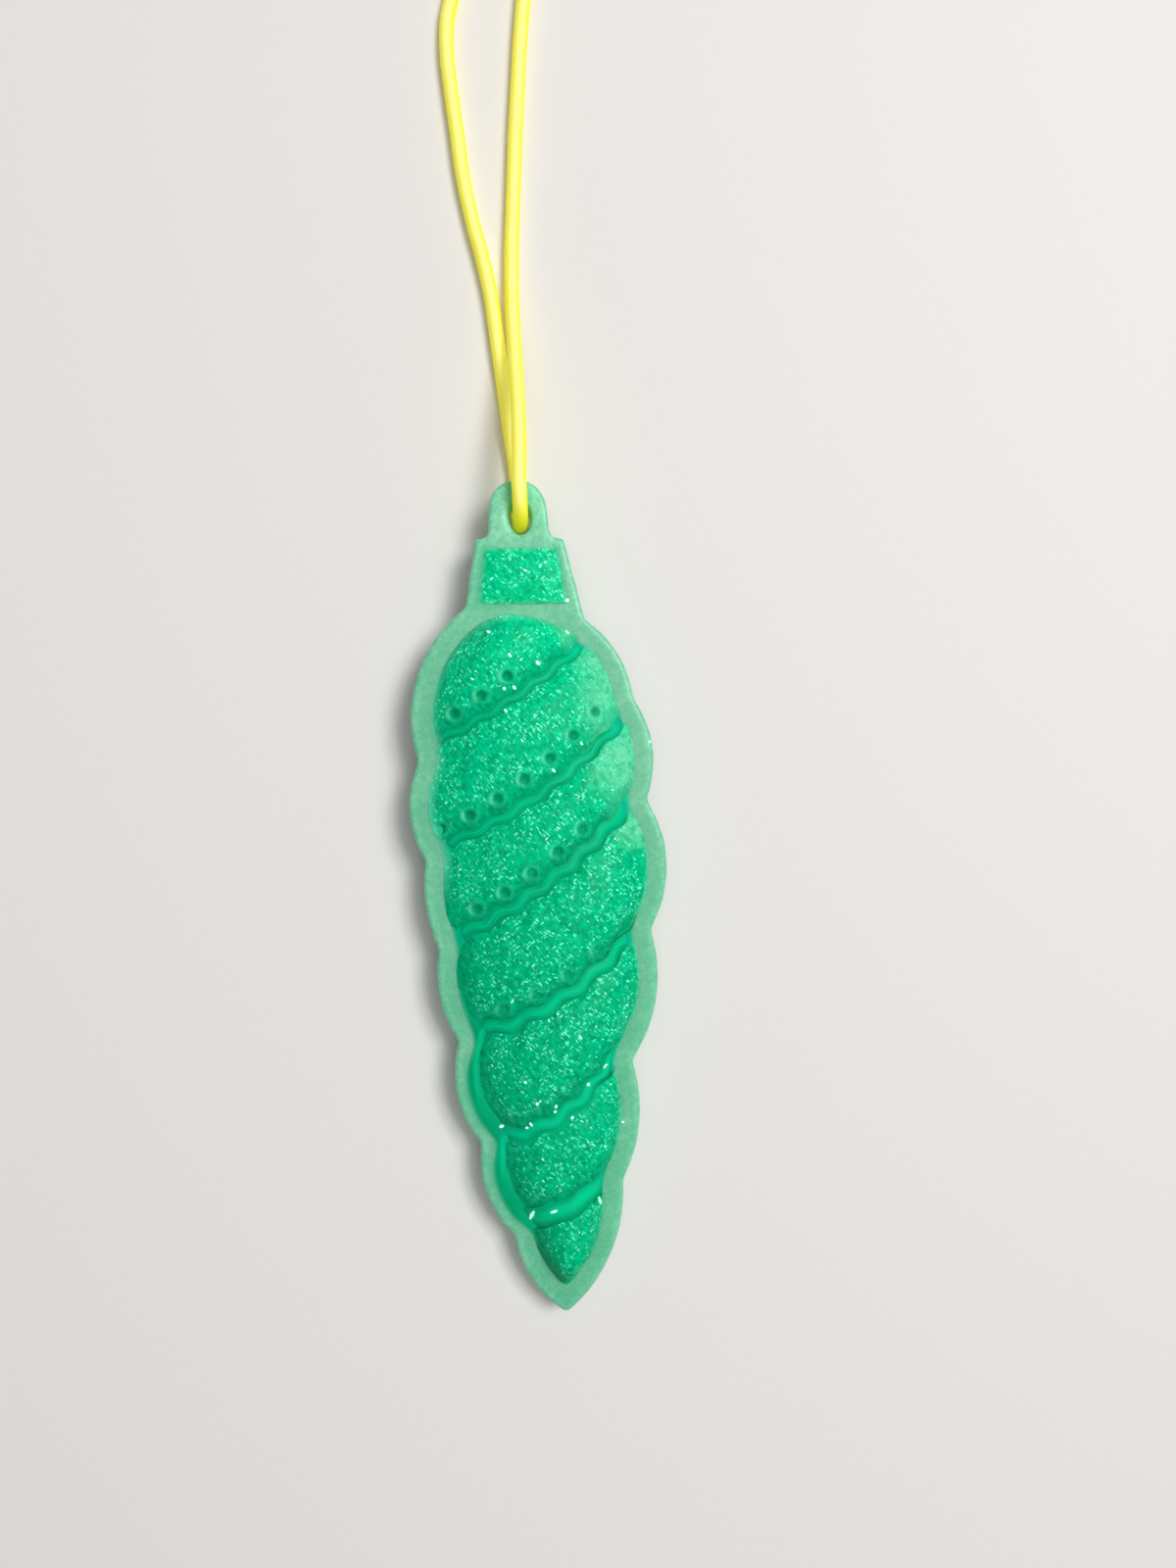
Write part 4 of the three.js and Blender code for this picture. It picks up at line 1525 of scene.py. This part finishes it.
            # Pale ring round each eyelet, with a painted lit crescent on its left, where the pit's wall
            # faces the light
            ringed = np.exp(-(((near - ring_at) / ring_spread) ** 2))
            ringed = ringed * (pale + paler * leftward**3)
            lip = np.maximum(lip, ringed * self.below.pits)
            bare = np.maximum(bare, bare_near * self.below.pits)
        pool = np.zeros_like(away)
        for line in (self.below, self.above):
            pool = np.maximum(pool, line.pooled(spots) if line else 0)
        thin = held(1 - edge / self.thin_width) * held(spots.real / self.thin_side)
        bare = np.maximum.reduce([bare, pool, thin, self.frost_bare * frost])
        frost = frost * (1 - self.pit_clears * pit) * (1 - self.pool_clears * pool)
        return {"margin": margin, "frost": frost, "pit": pit,
                "lip": np.maximum(lip, self.pool_pale * pool), "bare": bare}

    def mesh(self) -> BMesh:
        """The fill as a closed mesh with a fine granular surface.

        Returns:
            The mesh, in mm.
        """
        low_left, low_right, top_left, top_right = self.corners
        across = max(abs(low_right - low_left), abs(top_right - top_left))
        up = max(abs(top_left - low_left), abs(top_right - low_right), self.tip_y)
        bm = patch(round(across / self.face_size), round(up / self.face_size), self.place)
        roughen(bm, self.grains)
        mark(bm, self.marks)
        close_below(bm, self.layers.plate - self.layers.relief_sink)
        return bm


@dataclass
class Casting:
    """The rigid casting: milky backing, clear green bed and ribbons, and the glitter fills."""

    plan: DropPlan = field(default_factory=DropPlan)
    layers: Layers = field(default_factory=Layers)
    ledges: tuple = ((0.2, 0), (0.25, 0.7), (0.3, 0.75), (0.05, 0), (0.1, 0), (0.1, 0), (0.3, 0))
    side_wander: tuple = (0.05, 2.2)
    plate_face: float = 0.7
    plate_waves: tuple = ((5.0, 0.08), (1.4, 0.02))
    brink_highlight_width: float = 1.2
    green_reach: tuple = ((5, 11, 30, 37, 40, 50), (0, 1, 1, 0.15, 0.15, 0))
    rim_blend: float = 3
    narrow_rim: float = 1.05
    wide_right_rim: float = 0.2
    valley_keep: tuple = (0.6, 1.7)
    ledge_top: tuple = (40, 50)
    ledge_side: tuple = (0, 4)
    ledge_shade_tone: float = 0.3
    upper_tone: float = 0.75
    pool_tone: float = 0.85
    band_tone: float = 0.66
    band_widths: tuple = (0.38, 0.33, 0.25, 0.1)
    band_out: float = 0.1
    band_rise: float = 0.16
    band_bend: tuple = (1.4, 0.9, 0.45)
    band_start: float = 0.14
    band_stations: tuple = (0, 0.25, 0.75, 1)
    band_fade: tuple = ((0.75, 1), (1, 0.2))
    band_step: float = 0.15
    band_smoothing: int = 20
    bed_face: float = 0.32
    ribbon_tone: float = 0.42
    ribbon_face: float = 0.16
    ribbon_rows: int = 24
    ribbon_waves: tuple = ((2.0, 0.05),)
    side_shade_lines: tuple = ((-1.0, 0.2, 0.5), (1.05, 0.2, 0.15))
    flow_lines: tuple = ((-0.35, 0.13, 0.55), (0.5, 0.13, 0.55))
    crest_at: float = 0.15
    crest_width: float = 0.6
    line_wander: tuple = (0.5, 1.7)
    patches: tuple = (0.6, 0.9, 2.5)
    groove_depth: float = 0.1
    ribbon_underlap: float = 0.2
    soft_rise: tuple = (46, 18)
    haze_spread: float = 1.3
    soft_left: float = 1.1
    soft_low_left: float = 0.45
    soft_right: float = 0.35
    cap_corners: tuple = (-5.75 + 85.4j, 4.9 + 85.0j, -4.7 + 92.1j, 4.1 + 91.8j)
    cap_wall: float = -0.05
    cap_crown: float = 0.6
    cap_swell: tuple = (5, 0.9)
    cap_faces: tuple = (76, 50)
    cap_grains: tuple = ((1.3, 0.06), (0.45, 0.03))
    soft_cap: float = 0.6
    chip_thickness: float = 0.12
    chip_sink: float = 0.3
    place: Matrix = field(default_factory=Matrix)

    def __post_init__(self) -> None:
        """Draws the outlines and finds where each ribbon enters and leaves the bed."""
        self.outline: ndarray = self.plan.body()
        self.green_edge: ndarray = self.edge_of_green()
        self.ribbons = [Ribbon(*sizes) for sizes in RIBBON_SIZES]
        shares = np.linspace(0, 1, 401)
        for line in self.ribbons:
            within = clearance(self.outline, np.interp(shares, line.shares, line.table))
            inside = np.flatnonzero(within > self.layers.rim + self.layers.ribbon_end_gap)
            line.start, line.end = shares[inside[0]], shares[inside[-1]]
        lines = [None, *self.ribbons, None]
        self.lobes = [
            Lobe(self.plan, self.layers, self.outline, i, lines[i], lines[i + 1], ledge)
            for i, (ledge, _) in enumerate(self.ledges)]

    def edge_of_green(self) -> ndarray:
        """Where the green pour meets the milky rim, which is narrower at the lower left.

        Returns:
            The closed line.
        """
        line = inset(self.outline, self.layers.rim, self.plan.step)
        level = np.interp(line.imag, *self.green_reach)
        keep, spread = self.valley_keep
        for valley, _ in self.plan.left_bulges:
            level = level * (1 - keep * np.exp(-(((line.imag - valley.imag) / spread) ** 2)))
        out = self.narrow_rim * held(-line.real / self.rim_blend - 0.5) * level
        out = out - self.wide_right_rim * held(line.real / self.rim_blend - 0.5)
        return line - inward(line) * out

    def backing(self) -> BMesh:
        """The milky plate with its hole, its side slightly uneven as hand-poured resin is.

        Returns:
            The closed mesh, in mm.
        """
        line = self.plan.plate()
        reach, size = self.side_wander
        wander = [reach * noise.noise(Vector((p.real, p.imag, 0)) / size) for p in line]
        line = line + inward(line) * np.array(wander)
        bm = rounded_plate(line, self.layers.plate, self.layers.plate_edge, self.plan.hole())
        refine(bm, self.plate_face)
        roughen(bm, self.plate_waves)
        mark(bm, self.stain)
        return bm

    def stain(self, spots: ndarray) -> dict[str, ndarray]:
        """How much green shows through the milky pour, and how near its brink each place is, for the
        highlight painted there.

        Args:
            spots: The places.

        Returns:
            The values by the attribute's name.
        """
        low_left, low_right, top_left, top_right = self.cap_corners
        panel = spaced(np.array([low_left, low_right, top_right, top_left]), self.plan.step)
        away = np.maximum(clearance(self.green_edge, spots), clearance(panel, spots))
        brink = clearance(self.plan.plate(), spots)
        # brink: share of the highlight painted near the plate's outer edge
        return {"stain": held(1 + away / self.softness(spots)),
                "brink": held(1 - brink / self.brink_highlight_width)}

    def softness(self, spots: ndarray) -> ndarray:
        """Width over which the milky and the green pours blend, broad at the upper left.

        Args:
            spots: The places.

        Returns:
            The widths, in mm.
        """
        low, over = self.soft_rise
        left = mix(self.soft_low_left, self.soft_left, held((spots.imag - low) / over))
        return mix(left, self.soft_right, held(spots.real / self.layers.half_body + 0.5))

    def edge_haze(self, spots: ndarray) -> dict[str, ndarray]:
        """How much the milky pour clouds the green ones near the relief's outline."""
        away = clearance(self.green_edge, spots) + self.layers.slope_reach
        return {"haze": held(1 - away / (self.haze_spread * self.softness(spots)))}

    def strip(self, line: Ribbon) -> BMesh:
        """One ribbon, round-backed, rising and falling with the body's crown.

        Args:
            line: The ribbon's centre line and sizes.

        Returns:
            The closed mesh.
        """
        crown = self.layers.body_crown * self.layers.crown_share(line)
        half = line.width / 2
        foot = half + self.layers.lane_gap + self.ribbon_underlap
        offsets = np.linspace(-foot, foot, 15)
        starts, ends = (
            reach_within(self.outline, lambda u: line.beside(u, offsets),
                         np.full_like(offsets, outer), self.layers.rim + self.layers.bed_edge)
            for outer in (0.0, 1.0))

        def place(s: ndarray, t: ndarray) -> tuple[ndarray, ndarray]:
            """Round back over the waving centre line, with a shallow groove on either side.

            Args:
                s: Shares of the first side.
                t: Shares of the second side.

            Returns:
                The plane places and their heights.
            """
            offset = mix(-foot, foot, t)
            u = mix(np.interp(offset, offsets, starts), np.interp(offset, offsets, ends), s)
            rise = soft_swell(s) * (self.layers.wall + crown) - self.layers.end_drop
            drop = self.groove_depth * (1 - np.sqrt(np.maximum(0, 1 - (offset / half) ** 2)))
            return line.beside(u, offset), self.layers.bed_top + rise - drop

        bm = patch(round(line.length / self.ribbon_face), self.ribbon_rows, place)
        tone = bm.verts.layers.float["tone"]
        offsets = [mix(-foot, foot, vert[tone]) / half for vert in bm.verts]
        tones = [self.ribbon_shade(line, vert.co, offset) for vert, offset in zip(bm.verts, offsets)]
        paint(bm, "tone", mix(np.array(tones), self.pool_tone, line.pooled(spots_of(bm))))
        roughen(bm, self.ribbon_waves)
        close_below(bm, self.layers.plate - self.layers.relief_sink)
        return bm

    def ribbon_shade(self, line: Ribbon, spot: Vector, offset: float) -> float:
        """Tone of a ribbon: painted light on its crest, painted shade in the grooves along its sides,
        and dark in its flow lines.

        Args:
            line: The ribbon.
            spot: A place on it.
            offset: How far across it lies, in half widths.

        Returns:
            The tone.
        """
        # Painted light on the crest
        crest = math.exp(-((offset - self.crest_at) / self.crest_width) ** 4)
        reach, size = self.line_wander
        wander = reach * noise.noise(spot / size)
        lines = 0.0
        # Painted shade in the grooves along both sides
        for at, width, depth in self.side_shade_lines:
            lines += depth * math.exp(-((offset - at) / width) ** 2)
        for at, width, depth in self.flow_lines:
            lines += depth * line.pits * math.exp(-((offset - at + wander) / width) ** 2)
        least, more, size = self.patches
        patchy = least + more * noise.noise(spot / size)
        return mix(self.ribbon_tone, line.glow, crest) - lines * patchy

    def band_share(self, spots: ndarray) -> ndarray:
        """How much each place lies in the bands that run on from the ribbons' left ends and
        down the ledges beside the lobes, wide at the ribbon and thin at the far end.

        Args:
            spots: The places.

        Returns:
            The shares.
        """
        most = np.zeros(len(spots))
        for lobe, (_, share) in zip(self.lobes, self.ledges):
            if not share:
                continue
            line, foot, top = lobe.above, lobe.corners[0], lobe.corners[2]
            bend = line.beside(line.start + np.array(self.band_bend) / line.length, 0.0)
            down = arc(top, foot, lobe.left_rise, np.linspace(self.band_start, share, 24))
            ahead = np.gradient(down)
            down = down - 1j * ahead / abs(ahead) * self.band_out
            path = spaced(np.concatenate([bend, down]), self.band_step, closed=False)
            for _ in range(self.band_smoothing):
                path[1:-1] = path[1:-1] / 2 + (path[2:] + path[:-2]) / 4
            along = np.linspace(0, 1, len(path))
            half = np.interp(along, self.band_stations, self.band_widths)
            away = abs(spots[:, None] - path)
            nearest = away.argmin(axis=1)
            level = np.interp(along, *self.band_fade)[nearest]
            near = away.min(axis=1) / half[nearest]
            most = np.maximum(most, level * np.exp(-(near**4)))
        return most

    def pad(self) -> BMesh:
        """The low bed, with shade painted on its ledges at the lower left and a lighter raised band on
        them.

        Returns:
            The closed mesh, in mm.
        """
        foot = inset(self.green_edge, -self.layers.slope_reach, self.plan.step)
        slope = [(away, self.layers.plate + rise) for away, rise in self.layers.bed_slope]
        bm = sloped_pad(foot, self.layers.plate - self.layers.bed_sink, slope)
        refine(bm, self.bed_face)
        spots = spots_of(bm)
        bands = self.band_share(spots)
        for vert, band in zip(bm.verts, bands):
            if vert.co.z > self.layers.plate:
                vert.co.z += self.band_rise * band
        # Painted shade on the lower left ledges, where the relief's left side faces away from the light
        tones = np.interp(spots.imag, self.ledge_top, (self.ledge_shade_tone, self.upper_tone))
        tones = np.maximum(tones, np.interp(spots.real, self.ledge_side, (0, self.upper_tone)))
        tones = mix(tones, self.band_tone, bands)
        for line in self.ribbons:
            tones = mix(tones, self.pool_tone, line.pooled(spots))
        paint(bm, "tone", tones)
        return bm

    def bed(self) -> BMesh:
        """The clear green pour: the bed and its ribbons.

        Returns:
            The mesh, in mm.
        """
        parts = [self.pad(), *[self.strip(line) for line in self.ribbons]]
        for part in parts:
            mark(part, self.edge_haze)
        return joined(parts)

    def cap(self) -> BMesh:
        """The small glitter fill on the neck.

        Returns:
            The closed mesh, in mm.
        """
        low_left, low_right, top_left, top_right = self.cap_corners
        corners = np.array([low_left, low_right, top_right, top_left])

        def place(s: ndarray, t: ndarray) -> tuple[ndarray, ndarray]:
            """A low pillow between four straight edges.

            Args:
                s: Shares of the first side.
                t: Shares of the second side.

            Returns:
                The plane places and their heights.
            """
            s, t = eased(s), eased(t)
            flat = (low_left * (1 - s) + low_right * s) * (1 - t)
            flat = flat + (top_left * (1 - s) + top_right * s) * t
            rise = soft_swell(s, *self.cap_swell) * soft_swell(t, *self.cap_swell) * self.cap_crown
            return flat, self.layers.plate + self.cap_wall + rise

        def marks(spots: ndarray) -> dict[str, ndarray]:
            """Clouded along its border and a little darker there with the margins' painted shade,
            evenly filled inside.

            Args:
                spots: The places.

            Returns:
                The values by the attribute's name.
            """
            edge = held(1 - clearance(corners, spots) / self.soft_cap)
            plain = {name: 0 * edge for name in ("pit", "lip", "bare")}
            return {"margin": 1 - 0.6 * edge, "frost": 0.8 * edge, **plain}

        bm = patch(*self.cap_faces, place)
        roughen(bm, self.cap_grains)
        mark(bm, marks)
        close_below(bm, self.layers.plate - self.layers.cap_sink)
        return bm

    def chips(self, grounds: Sequence[BVHTree]) -> BMesh:
        """The loose chips, each laid on the highest surface under it.

        Args:
            grounds: The surfaces of the pieces that they may lie on.

        Returns:
            The chips as thin plates.
        """
        def ground(spot: complex) -> Vector:
            """The highest point under a place.

            Args:
                spot: The place, in mm.

            Returns:
                The point.
            """
            over = Vector((spot.real, spot.imag, ABOVE_ALL))
            hits = [tree.ray_cast(over, Vector((0, 0, -1)))[0] for tree in grounds]
            return max((hit for hit in hits if hit), key=lambda hit: hit.z)

        bm = bmesh.new()
        for place, length, width, turn in CHIPS:
            along = complex(math.cos(math.radians(turn)), math.sin(math.radians(turn)))
            near, far = (ground(place + way * length / 2 * along) for way in (-1, 1))
            left, right = (ground(place + way * width / 2j * along) for way in (-1, 1))
            ahead = (far - near).normalized()
            up = ahead.cross(left - right).normalized()
            seat = Matrix((ahead, up.cross(ahead), up)).transposed().to_4x4()
            spot = (near + far) / 2
            spot.z = max(spot.z, ground(place).z) - self.chip_sink * self.chip_thickness
            made = bmesh.ops.create_circle(bm, segments=6, radius=0.5, cap_ends=True)["verts"]
            grown = bmesh.ops.extrude_face_region(bm, geom=list(made[0].link_faces))["geom"]
            top = [g for g in grown if isinstance(g, BMVert)]
            bmesh.ops.translate(bm, vec=(0, 0, self.chip_thickness), verts=top)
            size = Matrix.Diagonal((length, width, 1, 1))
            bmesh.ops.transform(bm, matrix=Matrix.Translation(spot) @ seat @ size,
                                verts=[*made, *top])
        return bm

    def build(self) -> None:
        """Builds and dresses every piece of the casting."""
        glitter = GlitterResin().material()
        pieces = [
            (self.backing(), "milky_backing", Slot.PALE, MilkyResin().material(), "pale_backing"),
            (self.bed(), "green_bed_and_ribbons", Slot.GREEN, ClearGreenResin().material(),
             "green_bed"),
            (self.cap(), "neck_glitter_fill", Slot.GLITTER, glitter, "cap_fill")]
        for lobe in self.lobes:
            node = f"lobe_{len(self.lobes) - lobe.index}"
            pieces.append((lobe.mesh(), f"glitter_{node}", Slot.GLITTER, glitter, node))
        chips = self.chips([BVHTree.FromBMesh(bm) for bm, *_ in pieces])
        for bm, name, slot, material, node in pieces:
            make_piece(bm, name, Body.CASTING, material, [node], self.place)
        make_piece(chips, "loose_glitter_chips", Body.CASTING,
                   CutGlitter().material(), place=self.place)


# The hanging loop


@dataclass
class HangingLoop:
    """The satin cord through the tab, from the knot down the front strand, round the bar of the
    tab and back up the rear strand, and the knot with its two tails."""

    hinge: Vector
    cord_radius: float = 0.9
    bend_radius: float = 3.7
    bend_lift: float = 12.0
    bend_steps: int = 9
    knot_gap: float = 0.3
    front: Route = (
        (0.25, 4.0, 7.6), (0.45, 8.5, 6.35), (0.55, 13, 4.9), (0.6, 17.5, 3.45), (0.65, 22, 2.15),
        (0.8, 26.5, 1.3), (1.05, 31, 0.95), (1.5, 36, 0.9), (1.9, 40.5, 0.9), (2.35, 45.5, 0.9),
        (2.95, 51, 0.9), (3.5, 56, 0.9), (4.2, 61.3, 0.9), (4.85, 66, 0.9), (5.15, 70.5, 0.9),
        (4.7, 75, 0.9), (3.4, 79, 1.1), (1.9, 82.5, 1.9), (1.15, 86, 2.6), (1.15, 88, 2.6),
    )
    rear: Route = (
        (0, 3.8, 0.9), (-0.4, 8, 0.9), (-0.75, 12.3, 0.9), (-1.1, 16.5, 0.9), (-1.45, 21, 0.9),
        (-1.85, 25.5, 0.9), (-2.6, 30, 0.9), (-3.6, 34.8, 0.9), (-4.4, 40, 0.9), (-4.8, 45, 0.9),
        (-5.2, 50, 0.9), (-5.5, 55, 0.9), (-5.25, 59, 0.9), (-4.5, 62, 0.9), (-3.7, 65.5, 0.9),
        (-3.0, 70, 0.9), (-2.35, 75, 0.9), (-1.75, 79, 1.1), (-1.3, 82.5, 1.9), (-1.15, 86, 2.6),
        (-1.15, 88, 2.6),
    )
    tail: Route = ((1.15, 0, 2.6), (1.15, 5.5, 2.6), (1.7, 9, 1.5), (2.6, 12.5, 0.9), (3.0, 15, 0.9))
    wraps: tuple = ((2.0, 14.0), (4.0, 14.0), (3.3, -32.0))
    wrap_half_width: float = 2.75
    wrap_half_height: float = 1.7
    core_y: float = 3.1
    core_half: float = 2.9
    core_shares: tuple = (0.85, 0.85, 0.9)
    wrap_slip: float = 0.25
    turn_steps: int = 24
    cord_step: float = 0.45
    sides: int = 20

    def smooth_route(self, route: Sequence[Vector]) -> list[Vector]:
        """Evenly spaced points of one smooth curve through a route.

        Args:
            route: Points that the curve passes through, in mm.

        Returns:
            The points.
        """
        points = [2 * route[0] - route[1], *route, 2 * route[-1] - route[-2]]
        fine = []
        for a, b, c, d in zip(points, points[1:], points[2:], points[3:]):
            for k in range(self.turn_steps):
                t = k / self.turn_steps
                fine.append(0.5 * (2 * b + (c - a) * t + (2 * a - 5 * b + 4 * c - d) * t * t
                                   + (3 * b - a - 3 * c + d) * t**3))
        fine.append(route[-1])
        line = np.array(fine)
        reach = np.concatenate([[0.0], np.cumsum(np.linalg.norm(np.diff(line, axis=0), axis=1))])
        at = np.linspace(0, reach[-1], max(2, round(reach[-1] / self.cord_step)) + 1)
        return [Vector(p) for p in zip(*[np.interp(at, reach, line[:, k]) for k in range(3)])]

    def tube(self, line: Sequence[Vector]) -> BMesh:
        """A closed round cord along a line, with each vertex's place on the straightened cord.

        Args:
            line: Evenly spaced points, in mm.

        Returns:
            The mesh, with the point attribute "straight" in mm.
        """
        bm = bmesh.new()
        straight = bm.verts.layers.float_vector.new("straight")
        made = bmesh.ops.create_circle(bm, segments=self.sides, radius=self.cord_radius,
                                       cap_ends=True)
        for vert in made["verts"]:
            vert[straight] = vert.co
        edges = list(bm.edges)
        ahead = (line[1] - line[0]).normalized()
        turn = Vector((0, 0, 1)).rotation_difference(ahead).to_matrix()
        for vert in made["verts"]:
            vert.co = turn @ vert.co + line[0]
        way = 0.0
        for k in range(1, len(line)):
            following = line[min(k + 1, len(line) - 1)] - line[k - 1]
            bend = ahead.rotation_difference(following.normalized()).to_matrix()
            ahead = following.normalized()
            turn = bend @ turn
            way += (line[k] - line[k - 1]).length
            verts, edges = extruded(bm, edges)
            for vert in verts:
                around = Vector((*vert[straight].xy, 0.0))
                vert.co = turn @ around + line[k]
                vert[straight] = (*around.xy, way)
        bmesh.ops.holes_fill(bm, edges=edges, sides=0)
        return bm

    def loop_line(self) -> list[Vector]:
        """The cord's line from the knot round the bar and back to the knot.

        Returns:
            Evenly spaced points, in mm.
        """
        front, rear = ([self.hinge + Vector((x, y, z - self.hinge.z)) for x, y, z in strand]
                       for strand in (self.front, self.rear))
        bend = []
        for k in range(self.bend_steps + 1):
            angle = math.radians(mix(90 - self.bend_lift, 270, k / self.bend_steps))
            bend.append(self.hinge + self.bend_radius * Vector((0, math.cos(angle), math.sin(angle))))
        return self.smooth_route([*reversed(front), *bend, *rear])

    def knot(self) -> BMesh:
        """The knot: wraps of cord round the two strands and two short tails with cut ends.

        Returns:
            The mesh, in mm.
        """
        start = self.hinge.y + self.front[-1][1] + self.knot_gap
        level = self.front[-1][2]
        routes = [[Vector((self.hinge.x + side * x, start + y, z)) for x, y, z in self.tail]
                  for side in (1, -1)]
        for y, tilt in self.wraps:
            lean = math.tan(math.radians(tilt))
            routes.append([])
            for k in range(self.turn_steps + 1):
                turn = 2 * math.pi * k / self.turn_steps
                x = self.wrap_half_width * math.cos(turn)
                rise = self.wrap_half_height * math.sin(turn)
                along = start + y + lean * x + self.wrap_slip * math.sin(turn / 2)
                routes[-1].append(Vector((self.hinge.x + x, along, level + rise)))
        parts = [self.tube(self.smooth_route(route)) for route in routes]
        core = bmesh.new()
        core.verts.layers.float_vector.new("straight")
        bmesh.ops.create_uvsphere(core, u_segments=24, v_segments=16, radius=1.0)
        halves = (self.wrap_half_width, self.core_half, self.wrap_half_height)
        size = [half * share for half, share in zip(halves, self.core_shares)]
        bmesh.ops.scale(core, vec=size, verts=core.verts)
        bmesh.ops.translate(core, vec=(self.hinge.x, start + self.core_y, level), verts=core.verts)
        return joined([*parts, core])

    def build(self) -> None:
        satin = SatinWeave().material()
        line = self.loop_line()
        cord = make_piece(self.tube(line), "satin_loop", Body.LOOP, satin,
                          ["loop_cord"])
        knot = make_piece(self.knot(), "satin_knot", Body.LOOP, satin, ["loop_knot"])


# Floor, lights and camera


@dataclass(frozen=True)
class Studio:
    """A pale floor, soft light from the right, and a camera straight above."""

    floor_half: float = 1.5
    focal_px: float = 1155.0
    long_side_px: float = 1600.0
    sensor_mm: float = 36.0
    clip: tuple = (0.005, 20.0)
    camera_at: tuple = (-0.005642, 0.014195, 0.14042)
    lean: float = math.radians(5.0)
    roll: float = math.radians(3.294)
    aim: tuple = (0.0, 0.01, 0.0)
    lamps: tuple = (("window_key", (0.34, 0.2, 0.7), 0.32, 4.2),
                    ("overhead_fill", (0.1, 0.1, 0.9), 1.0, 2.8))
    room_light: float = 0.2

    def camera(self) -> None:
        """The camera at the photograph's place and angle."""
        data = bpy.data.cameras.new("camera")
        data.sensor_fit = "AUTO"
        data.sensor_width = self.sensor_mm
        data.lens = self.sensor_mm * self.focal_px / self.long_side_px
        data.clip_start, data.clip_end = self.clip
        camera = bpy.data.objects.new("camera", data)
        right = Vector((math.cos(self.lean) * math.cos(self.roll),
                        -math.cos(self.lean) * math.sin(self.roll), math.sin(self.lean)))
        up = Vector((math.sin(self.roll), math.cos(self.roll), 0.0))
        back = right.cross(up)
        turn = Matrix((right, up, back)).transposed().to_4x4()
        camera.matrix_world = Matrix.Translation(self.camera_at) @ turn
        bpy.context.scene.collection.objects.link(camera)
        bpy.context.scene.camera = camera

    def floor(self) -> None:
        """The plain floor under everything."""
        bm = bmesh.new()
        bmesh.ops.create_grid(bm, x_segments=1, y_segments=1, size=self.floor_half)
        mesh = bpy.data.meshes.new("floor")
        bm.to_mesh(mesh)
        bm.free()
        mesh.materials.append(PaleBoard().material())
        floor = bpy.data.objects.new("floor", mesh)
        bpy.context.scene.collection.objects.link(floor)

    def lights(self) -> None:
        """A window-like key from the right, a broad overhead fill and a pale room."""
        for name, at, size, power in self.lamps:
            data = bpy.data.lights.new(name, "AREA")
            data.shape, data.size, data.energy = "SQUARE", size, power
            lamp = bpy.data.objects.new(name, data)
            lamp.location = at
            back = Vector(at) - Vector(self.aim)
            lamp.rotation_euler = back.to_track_quat("Z", "Y").to_euler()
            bpy.context.scene.collection.objects.link(lamp)
        world = bpy.data.worlds.new("pale_room")
        world.use_nodes = True
        room = world.node_tree.nodes["Background"].inputs
        room["Color"].default_value, room["Strength"].default_value = (1, 1, 1, 1), self.room_light
        bpy.context.scene.world = world

    def build(self) -> None:
        """Sets up everything round the object."""
        bpy.context.scene.view_settings.view_transform = "Standard"
        self.camera()
        self.floor()
        self.lights()


def resting_place(plan: DropPlan, layers: Layers, loop: HangingLoop) -> Matrix:
    """The matrix from the casting's plane, in mm, to the frame, in metres.

    The tab leans on the cord's bend, so the casting rests on its tip end with a slight pitch.

    Args:
        plan: The casting's outline.
        layers: Its heights.
        loop: The loop, whose hinge is the bar of the tab.

    Returns:
        The matrix.
    """
    lift = loop.bend_radius + loop.cord_radius
    bar = plan.tab_top - plan.bar_height / 2
    reach = math.hypot(bar, layers.plate / 2)
    pitch = math.asin(lift / reach) - math.atan2(layers.plate / 2, bar)
    hinge = Vector((plan.hole_x, reach * math.cos(math.asin(lift / reach)), lift))
    shift = Matrix.Translation(loop.hinge - hinge)
    return Matrix.Scale(MILLIMETRE, 4) @ shift @ Matrix.Rotation(pitch, 4, "X")


def main() -> None:
    """Builds the studio, the loop and the casting."""
    logging.basicConfig(level=logging.INFO, format="%(name)s: %(message)s")
    Studio().build()
    swing = frame["joints"][0]
    loop = HangingLoop(hinge=Vector(swing["pos_m"]) / MILLIMETRE)
    loop.build()
    casting = Casting()
    casting.place = resting_place(casting.plan, casting.layers, loop)
    casting.build()


if __name__ == "__main__":
    main()
